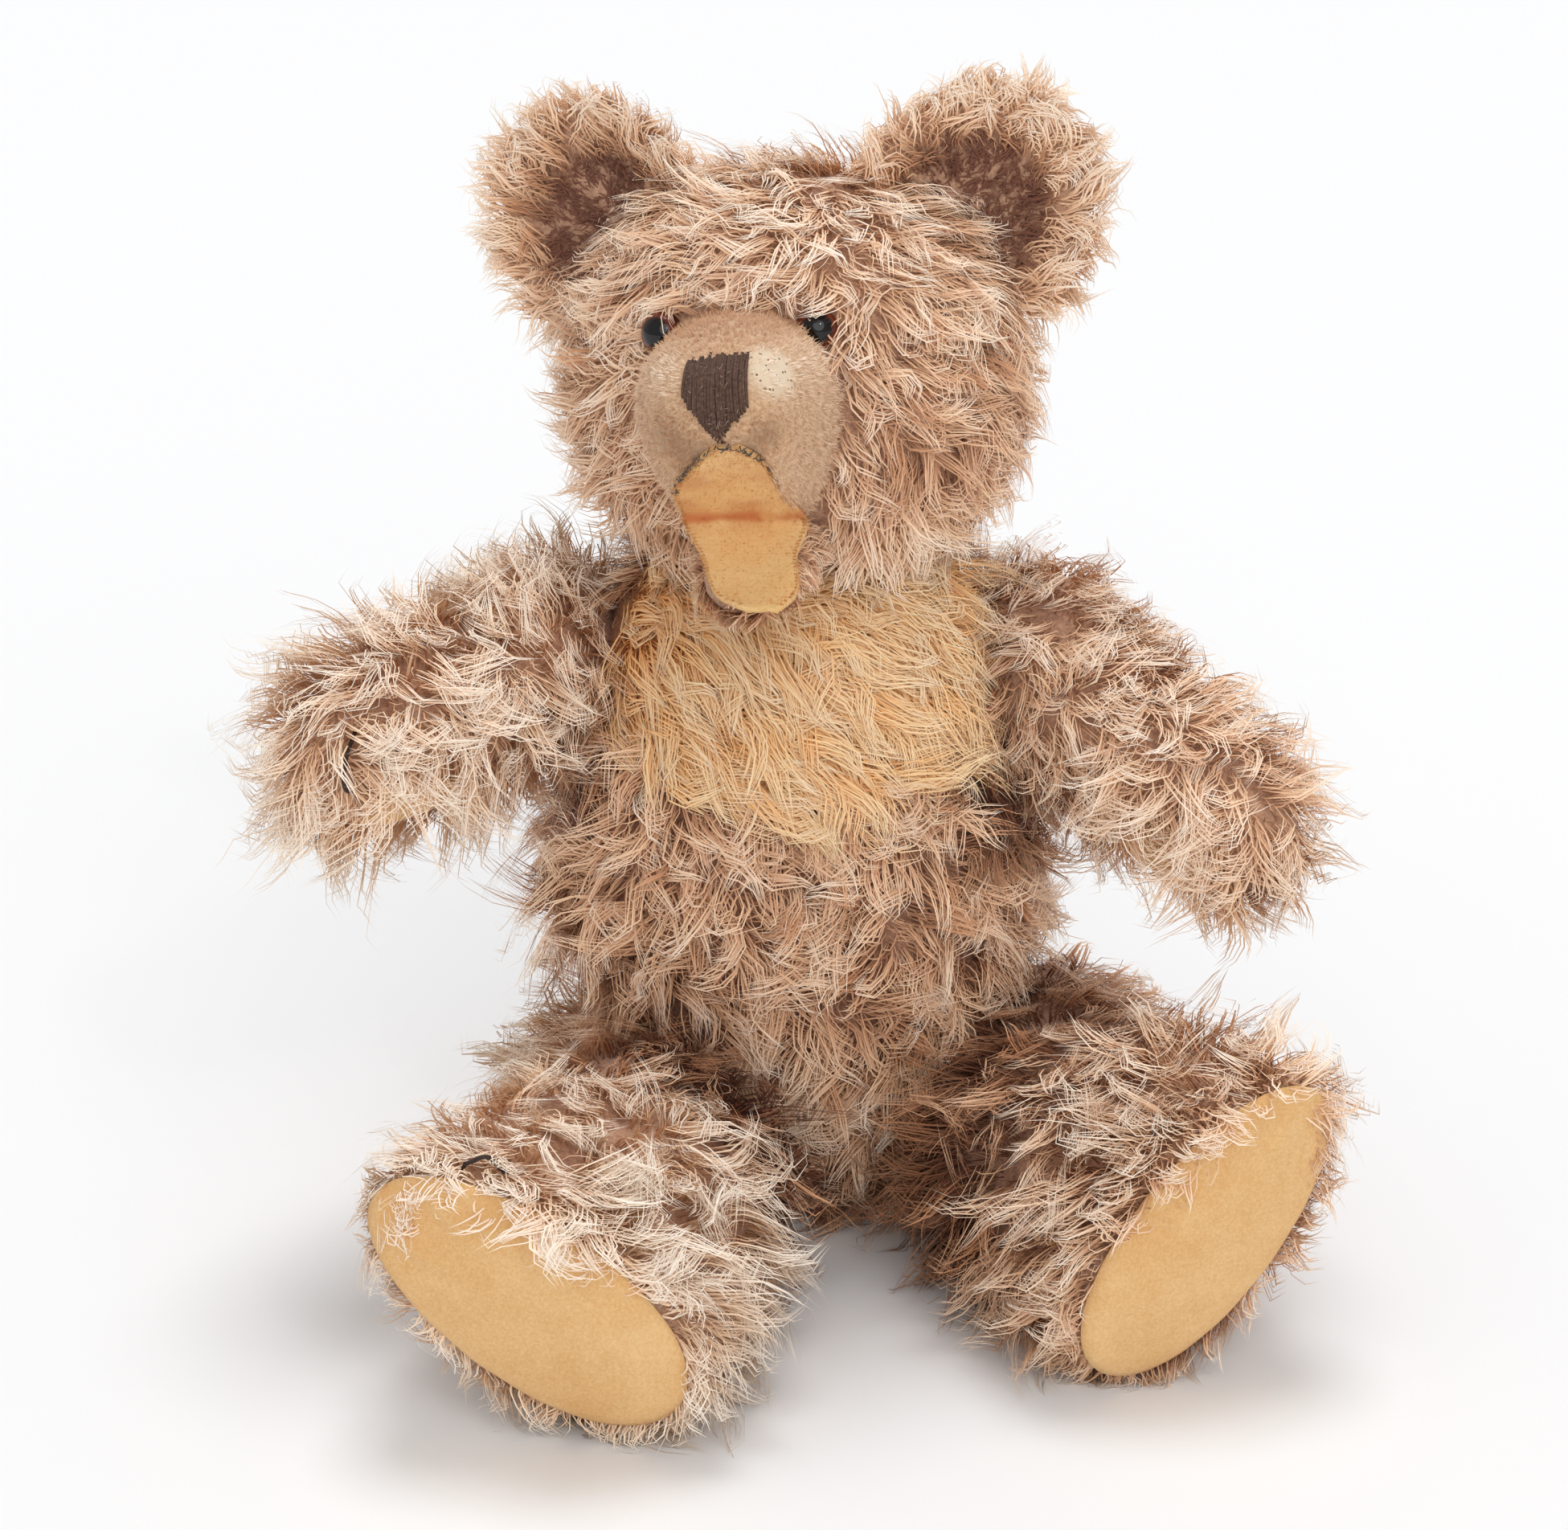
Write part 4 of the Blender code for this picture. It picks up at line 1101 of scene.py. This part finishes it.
def mouth_fuzz(front, normals, count=2600):
    """Short fibres of the mouth's felt, over its front and along its cut edges."""
    rng = np.random.default_rng(51)
    row, side = rng.uniform(0, len(front) - 1.01, count), rng.choice([-1.0, 1.0], count)
    inner = rng.random(count) < 0.45
    place = np.where(inner, rng.uniform(-0.95, 0.95, count), side * rng.uniform(0.93, 1.0, count))
    low, column = row.astype(int), (place + 1) * 12
    cell = np.minimum(column.astype(int), 23)
    part = (column - cell)[:, None]
    start = front[low, cell] * (1 - part) + front[low, cell + 1] * part
    out = np.stack([np.where(inner, 0.2 * side, side), np.zeros(count), np.zeros(count)], -1)
    way = normals[low, cell] * np.where(inner, 1.0, 0.4)[:, None] + out
    way = unit(way + rng.normal(0, 0.45, (count, 3)))
    long = np.where(inner, 0.7, 1.1) * rng.uniform(0.5, 1.4, count)
    at = np.linspace(0, 1, 3)[None, :, None]
    bend = rng.normal(0, 0.3, (count, 1, 3))
    strand = start[:, None] + (way[:, None] * at + bend * at**2) * long[:, None, None]
    facing = unit(rng.normal(size=(count, 1, 3)))
    half, shade = np.full((count, 3), 0.05 * MM), rng.uniform(0, 0.99, count)
    mesh = ribbons("mouth_fuzz", from_head(strand), facing, half, shade, np.tile(at[0, :, 0], (count, 1)))
    new_piece("mouth_fuzz", mesh, felt_fuzz, "head")


# The nose's lower edge: x, and height
NOSE_EDGE = (
    (-7.3, -6.6, -4.8, -2.4, -1.9, -0.2, 0.2, 1.6, 4.6, 5.4),
    (-3.2, -4.4, -7.0, -10.6, -12.6, -12.6, -10.8, -9.2, -6.6, -5.2),
)


def nose_parts():
    """The nose: upright satin stitches side by side over the muzzle's tip, a few worn short or broken.

    Each runs from the top edge to the lower one, and rises off the muzzle as a power of a sine.
    """
    rng = np.random.default_rng(61)
    count, steps = 25, 15
    x = np.linspace(-7.2, 5.3, count)
    top = 4.2 + rng.normal(0, 0.3, count) + 0.08 * x
    low = np.interp(x, *NOSE_EDGE) + rng.normal(0, 0.25, count)
    at = np.linspace(0, 1, steps)
    z = top[:, None] + (low - top)[:, None] * at
    lean = x[:, None] * (0.92 + 0.1 * at) + rng.normal(0, 0.14, (count, 1)) * np.sin(np.pi * at)
    arch = np.sin(np.pi * np.clip(at * 1.04 - 0.02, 0, 1)) ** 0.35
    rise = 0.9 * (1 - 0.4 * ((x + 0.8) / 7) ** 2)[:, None] * arch
    rise = np.nan_to_num(rise) + 0.15 + rng.normal(0, 0.06, (count, 1))
    paths = on_muzzle(lean, z) + AHEAD * (rise * MM)[..., None]
    thin_ends = (1 - 0.25 * (2 * at - 1) ** 4) * np.ones((count, 1))
    radius = 0.37 * MM * thin_ends * rng.uniform(0.9, 1.1, (count, 1))
    mesh = tubes("nose_threads", paths, radius, 8)
    new_piece("nose_threads", mesh, nose_thread, "head", ["nose_stitching"])
    nose_frays(rng)


def nose_frays(rng, count=45):
    """Short broken fibres that curl off the nose's stitches."""
    x = rng.normal(-0.6, 2.2, count).clip(-6.8, 5.2)
    z = rng.uniform(0, 1, count) * -14 + 3.0
    skin = on_muzzle(x, np.maximum(z, np.interp(x, *NOSE_EDGE)))
    at = np.linspace(0, 1, 5)[None, :, None]
    way = unit(rng.normal(size=(count, 1, 3)) + HEAD_TURN @ (0, -1.2, -0.6))
    bend = rng.normal(0, 0.35, (count, 1, 3))
    long = MM * rng.uniform(0.4, 1.3, (count, 1, 1))
    paths = skin[:, None] + AHEAD * 1.1 * MM + (way * at + bend * at**2) * long
    radius = np.full((count, 5), 0.08 * MM) * (1 - 0.6 * at[..., 0])
    new_piece("nose_frays", tubes("nose_frays", paths, radius, 5), frayed_thread, "head")


def mouth_stitches(count=60):
    """What is left of the mouth's outline: short dark stitches over the lip's edge."""
    rng = np.random.default_rng(71)
    table = mouth_rows()[:22]
    middle, wide = table[:, :3], table[:, 3:] * (1, 0, 0)
    line = np.concatenate([(middle - wide)[::-1], (middle + wide)[1:]])
    run = run_along(line)
    spot = np.sort(rng.uniform(0.02, 0.98, count)) * run[-1]
    place = read_line(spot, run, line)
    onward = unit(read_line(spot + 0.5, run, line) - place)
    way = unit(onward * rng.uniform(0.3, 1.0, (count, 1)) + rng.normal(0, 0.5, (count, 3)))
    at = np.linspace(-0.5, 0.5, 6)[None, :, None]
    long = rng.uniform(1.0, 2.6, (count, 1, 1))
    paths = place[:, None] + way[:, None] * at * long
    paths = paths + np.array([0, -1.3, -0.5]) * (1 - 2.0 * at**2) + (0, 0, 0.4)
    radius = 0.11 * MM * rng.uniform(0.7, 1.3, (count, 1)) * np.ones(6)
    mesh = tubes("mouth_stitches", from_head(paths), radius, 6)
    new_piece("mouth_stitches", mesh, worn_thread, "head")


def eye_parts(side, sign):
    """A glass eye: a ball whose map runs from the middle of the pupil to the back."""
    name = f"{side}_glass_eye"
    facing = unit(np.array([0.25 * sign, -1.0, 0.1]))
    across = unit(np.cross(facing, (0, 0, 1.0)))
    out = np.linspace(0, np.pi, 25)[:, None, None]
    around = circle(full_turn(40)[None, :, None], across, np.cross(across, facing))
    ball = facing * np.cos(out) * 0.93 + around * np.sin(out)
    points = np.array([-3.8 + 16 * sign, -36.7 - 0.6 * sign, 7.0]) + 4.4 * ball
    mesh = closed_mesh(name, from_head(points)[:, ::-1], "eye_map")
    new_piece(name, mesh, eye_glass, "head", [f"{side}_eye"])


def head_parts():
    """The head's cloth and all that is sewn on it."""
    skull = form(["head_skin"], (0.0025, -0.003, 0.186), (0.0025, -0.003, 0.194), (14, 4))
    cloth_skin("head", skull, "head")
    head_pile(skull)
    for side, sign in SIDES:
        ear_parts(side, sign)
    muzzle_parts()
    jaw_parts()
    mouth_parts()
    nose_parts()
    mouth_stitches()
    for side, sign in SIDES:
        eye_parts(side, sign)


# ---------------------------------------------------------------- arms and legs

ARM_LINES = {
    "right": ((-0.050, 0.004, 0.1225), (-0.088, -0.048, 0.117)),
    "left": ((0.0535, 0.004, 0.1225), (0.093, -0.045, 0.099)),
}
LEG_LINES = {
    "right": ((-0.0365, 0.003, 0.022), (-0.047, -0.112, 0.031)),
    "left": ((0.0565, 0.003, 0.025), (0.083, -0.090, 0.033)),
}
PADS = {  # facing and middle in mm
    "right": ((0.35, -0.45, -0.82), (-81, -46, 118)),
    "left": ((-0.62, -0.36, -0.70), (84, -40, 104)),
}
PAD_LONG, PAD_WIDE = 13, 9  # half axes in mm
SOLE_FACING = {"right": (-0.2, -0.97, -0.12), "left": (0.35, -0.93, -0.1)}
# Two ways on a sole in which pile may hang further over it, and how many mm further
OVERHANG_WAYS = ((-0.82, 0.57), (0.5, 0.87))
OVERHANG = {"right": (5, 8), "left": (0, 0)}


def limb_weight(joint, radius):
    """Hardly any pile where the limb lies against the torso, none under its felt, and less behind."""

    def weight(points, normals, owner):
        out, away = by_joint(joint, points)
        seen = 0.5 + 0.5 * ramp(dot(normals, (0, -0.94, 0.34))[..., 0], -0.5, 0.2)
        against = (out < 0.0025) & (away < radius)
        return np.where(against, 0.02, 1.0) * np.where(owner == 0, 1, 0) * seen

    return weight


def felt_slab(name, limb, node, centre, a, b, facing, radius, rise):
    """Felt sewn on a limb by its edge: discs of points in the directions a and b, raised along facing.

    Radius is by column, and rise by row and column. The cut size is measured off it.
    """
    around = circle(full_turn(len(radius))[:, None], a, b) * radius[:, None]
    share = np.linspace(0, 1, len(rise))[:, None, None]
    front = centre + around * share + facing * rise[..., None]
    thick = 1.4 * MM * (1 - 0.8 * share**8)
    mesh = closed_mesh(name, np.concatenate([front, (front - facing * thick)[::-1]]))
    piece = new_piece(name, mesh, golden_felt, limb, [node])
    area = 0.5 * (radius**2).sum() * 2 * np.pi / len(radius)
    size = [np.ptp(around @ axis) for axis in (a, b)]


def paw_pad(side):
    """A paw pad: an oval of felt laid on the arm's underside, its edge let in where the arm turns away."""
    facing, middle = PADS[side]
    facing, middle = unit(np.array(facing)), np.array(middle) * MM
    low, high = (np.array(end) for end in ARM_LINES[side])
    b = unit(np.cross(facing, high - low))
    a = np.cross(b, facing)
    turn = full_turn(48)
    radius = PAD_LONG * PAD_WIDE / np.hypot(PAD_WIDE * np.cos(turn), PAD_LONG * np.sin(turn)) * MM
    share = np.linspace(0, 1, 12)[:, None]
    starts = middle + circle(turn[:, None], a, b) * radius[:, None] * share[..., None]
    reach, _, hit = cast([f"{side}_arm_skin", f"{side}_paw_pad"], starts, facing)
    rise = softened(reach * hit, 3) + 0.6 * MM * (1 - share**4)
    felt_slab(f"{side}_pad_felt", f"{side}_arm", f"{side}_paw_pad", middle, a, b, facing, radius, rise)


def arm_parts(side, sign):
    """An arm's cloth, pile and pad."""
    limb = f"{side}_arm"
    low, high = ARM_LINES[side]
    shape = form([f"{limb}_skin", f"{side}_paw_pad"], low, high, (12, 16), 44)
    cloth_skin(limb, shape, limb)
    along = unit(np.array(high) - np.array(low))
    weight = limb_weight(JOINTS[f"{side}_shoulder"], 0.014)
    pad = np.array(PADS[side][1]) * MM
    pale, upright, length = {"right": (0.55, 0.5, 17.0), "left": (0.2, 0.2, 15.5)}[side]

    def over_pad(points):
        return 1 - ramp(distance(points, pad), 0.016, 0.028)

    def comb(points, normals):
        """Towards the paw, and down over the pad."""
        fall = over_pad(points)[:, None]
        return (along + (0, 0, -0.2)) * (1 - fall) + fall * (along * 0.3 + (0, 0, -1.0))

    def size(points):
        return 1 + 0.3 * over_pad(points)

    def tint(points, normals):
        """Paler towards the paw, paler on top as painted light, and dark at the armpit as painted shade.
        """
        away = ((points - low) * along).sum(-1)
        paw, up = ramp(away, 0, 0.06), ramp(normals[:, 2], 0.2, 0.9)
        return pale + 0.15 * paw + 0.3 * up * (1 - paw) - 0.6 * (1 - ramp(away, 0.005, 0.03)) * (1 - up)

    def stand(points, normals):
        """Fuller on top."""
        return upright + 0.35 * ramp(normals[:, 2], 0, 0.8)

    pile(f"{limb}_pile", limb, shape, comb, 21 + sign, weight, size, tint, stand=stand, locks=630,
         length=length, swirl=1.4, swirl_size=22.0, curl=2.3, wave=0.7, droop=0.35, spread=3.2,
         frizz=0.36, stray=0.08, width=0.3)
    paw_pad(side)


def claw(name, body, node, start, way, sag, high):
    """A claw stitch that is left: a thread bowed over the pile, from points cast on the cloth.

    It starts from points inside the limb, spread along sag, runs out to the wall and is lifted above it.
    """
    at = np.linspace(-0.5, 0.5, 11)[None, :, None]
    inner = np.array(start) * MM + np.array(sag) * at * MM
    outward = unit(np.array(way))
    reach = softened(cast([node], inner, outward)[0], 1)[..., None]
    paths = inner + outward * (reach + (high * (1 - 2.2 * at**2) - 0.4) * MM)
    paths = paths + 0.5 * MM * np.sin(9 * at + 1) * np.array([0.3, 0, 1.0])
    mesh = tubes(name, paths, np.full(paths.shape[:2], 0.45 * MM))
    new_piece(name, mesh, dark_thread, body)


def sole_outline(side):
    """A sole's middle, its two axes, its facing and its radius by angle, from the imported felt."""
    node = f"{side}_foot_sole"
    facing = unit(np.array(SOLE_FACING[side]))
    low, high = (np.array(corner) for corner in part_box(node))
    a = unit(np.cross((0, 0, 1.0), facing))
    b = np.cross(facing, a)
    ways = circle(full_turn(96)[:, None], a, b)
    centre = (low + high) / 2
    reach = cast([node], centre + 0 * ways, ways)[0]
    return centre, a, b, facing, softened(reach[None], 4)[0]


def leg_parts(side, sign):
    """A leg's cloth, pile and sole."""
    limb = f"{side}_leg"
    low, high = LEG_LINES[side]
    centre, a, b, facing, radius = sole_outline(side)
    turn = full_turn(len(radius))
    nodes = [f"{limb}_skin", f"{side}_foot_sole"]
    shape = form(nodes, low, high, (14, 24), 52, [(centre - facing * MM, facing)])
    cloth_skin(limb, shape, limb)
    under = limb_weight(JOINTS[f"{side}_hip"], 0.018)
    # The second value is how strongly painted shade darkens the crease where the belly meets the thigh
    pale, groin_shade, top_stand, ripening = {
        "right": (0.75, 1.3, 0.3, 1.0), "left": (0.15, 0.5, 0.7, 1.2)
    }[side]

    def ahead(points):
        """How far in front of the sole."""
        return ((points - centre) * facing).sum(-1)

    def overhang(points):
        """How far pile may hang over the sole in each of two ways, in mm."""
        away = points - centre
        way = unit(np.stack([away @ a, away @ b], -1))
        return [ramp(way @ np.array(to), 0.72, 0.95) * mm for to, mm in zip(OVERHANG_WAYS, OVERHANG[side])]

    def weight(points, normals, owner):
        """Thicker round the sole, most at its top."""
        out = ahead(points)
        rim = 1 + (1.2 + 1.2 * ramp((points - centre) @ b, 0, 0.02)) * ramp(out, -0.016, -0.005)
        return under(points, normals, owner) * rim * (out < -1.2 * MM) * (points[..., 2] > MM)

    def comb(points, normals):
        """Towards the sole, and out all round near it."""
        away, out = points - centre, ahead(points)[:, None]
        near = ramp(out, -0.022, -0.004) * (1 - 0.7 * ramp((away @ b)[:, None], 0.004, 0.016))
        return (facing * 0.6 + (0, 0, -0.7)) * (1 - 0.75 * near) + unit(away - out * facing) * near

    def tint(points, normals):
        """Paler towards the sole, paler on top of the foot as painted light, and dark where the belly
        meets the thigh as painted shade.
        """
        foot = ramp(ahead(points), -0.06, -0.01)
        outer = ramp(sign * (points[:, 0] - low[0]), -0.015, 0.012)
        crease_shade = ramp(points[:, 1], -0.086, -0.066) * (1 - outer) * groin_shade
        return pale + 0.15 * foot + 0.3 * foot * ramp(normals[:, 2], 0.2, 0.9) - crease_shade

    def size(points):
        """Shorter at the sole's rim, longer by the crotch."""
        rim = ramp(ahead(points), -0.016, -0.003)
        crotch = ramp(points[:, 1], -0.08, -0.05) * ramp(sign * (low[0] - points[:, 0]), 0, 0.01)
        return 1 - 0.35 * rim * (1 - overhang(points)[1] / 8) + 0.35 * crotch

    def trim(strand, draw):
        """No strand crosses the sole but a few over its upper edge."""
        away = strand - centre
        along_a, along_b = away @ a, away @ b
        edge = np.interp(np.arctan2(along_b, along_a) % (2 * np.pi), turn, radius, period=2 * np.pi)
        end, inner = overhang(strand)
        out, front = np.hypot(along_a, along_b), ahead(strand) > -1.5 * MM
        gone = (front & (out < edge - 0.3 * MM)).any(axis=1)
        deep = (front & (out < edge - (6 + end + inner) * MM)).any(axis=1)
        upper = along_b[:, -1] > 0.3 * radius.mean()
        share = 0.5 + 0.5 * (inner[:, -1] > 1)
        return ~gone | (upper & (draw < share) & ~deep)

    def stand(points, normals):
        """Fuller on the inner side and on top of the foot."""
        top = top_stand * ramp(ahead(points), -0.06, -0.02) * ramp(normals[:, 2], 0, 0.8)
        hip = 0.4 * ramp(points[:, 1], -0.05, -0.02) * ramp(sign * normals[:, 0], 0, 0.7)
        return 0.15 + 0.8 * ramp(-sign * normals[:, 0], 0.2, 0.9) + top + hip

    pile(f"{limb}_pile", limb, shape, comb, 31 + sign, weight, size, tint, trim, stand, locks=740,
         strands=16, length=19.0, swirl=1.4, swirl_size=24.0, curl=2.3, wave=0.7, spread=3.9,
         clump=0.88, ripening=ripening)
    share = np.linspace(0, 1, 22)[:, None]
    up = ramp(np.sin(turn - 0.2), 0.1, 0.8)
    ring = np.exp(-(((share - 0.74) / 0.16) ** 2))
    pucker = ring * up * (np.sin(15 * turn) + 0.7 * np.sin(26 * turn + 1.3)) * 0.6
    rise = 2.6 * (1 - share**2.6) + pucker - 0.9 * ramp(share, 0.93, 1.0)
    rise = rise + 0.35 * np.sin(3 * turn + 5 * share) * share * (1 - share)
    felt_slab(f"{side}_sole_felt", limb, nodes[1], centre, a, b, facing, radius * 1.01, rise * MM)


def inner_parts():
    """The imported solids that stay: stuffing, discs, washers, pins and eye wires get their materials."""
    for name, node in frame["nodes"].items():
        for part, material in INNER.items():
            if part in name:
                for slot in node.material_slots:
                    slot.material = material


def main():
    """Builds everything, body by body."""
    torso_parts()
    head_parts()
    for side, sign in SIDES:
        arm_parts(side, sign)
        leg_parts(side, sign)
    claw("right_hand_claws", "right_arm", "right_arm_skin", (-82, -44, 119), (-0.22, -0.93, 0.1),
         (1, 0, 13), 7.0)
    claw("right_foot_claws", "right_leg", "right_leg_skin", (-56, -112, 33), (-0.05, -0.5, 1.0),
         (9, -1, 2), 6.5)
    inner_parts()


# ---------------------------------------------------------------- studio

LAMPS = (  # name, strength, turn in degrees, angle across in degrees
    ("key", 1.2, (-12, 0, -8), 26),
    ("fill", 0.95, (58, 0, 12), 55),
    ("glint", 0.12, (52, 0, 24), 4),
)
EYE_LEVEL, EYE_AWAY, EYE_TILT = 0.097, 0.9, math.radians(20)  # what the camera looks at, and from where


def studio():
    """Pale floor, soft light from above and in front, and the camera."""
    floor = bpy.data.meshes.new("floor")
    floor.from_pydata([(-6, -6, 0), (6, -6, 0), (6, 6, 0), (-6, 6, 0)], [], [(0, 1, 2, 3)])
    floor.materials.append(Paint("pale_floor", 0.9, Base_Color=(0.925, 0.931, 0.938, 1)).material)
    new_object("floor", floor)
    scene = bpy.context.scene
    scene.view_settings.view_transform = "Standard"
    world = bpy.data.worlds.new("studio")
    scene.world = world
    world.use_nodes = True
    sky = world.node_tree.nodes["Background"].inputs
    sky["Color"].default_value = (0.96, 0.955, 0.96, 1)
    sky["Strength"].default_value = 0.54
    for name, strength, turn, spread in LAMPS:
        lamp = bpy.data.lights.new(name, "SUN")
        lamp.energy = strength
        lamp.angle = math.radians(spread)
        new_object(name, lamp).rotation_euler = [math.radians(a) for a in turn]
    lens = bpy.data.cameras.new("camera")
    lens.lens = 94.9
    lens.sensor_width = 36
    camera = new_object("camera", lens)
    camera.location = (0, -EYE_AWAY * math.cos(EYE_TILT), EYE_LEVEL + EYE_AWAY * math.sin(EYE_TILT))
    camera.rotation_euler = (math.pi / 2 - EYE_TILT, 0, 0)
    scene.camera = camera


main()
studio()
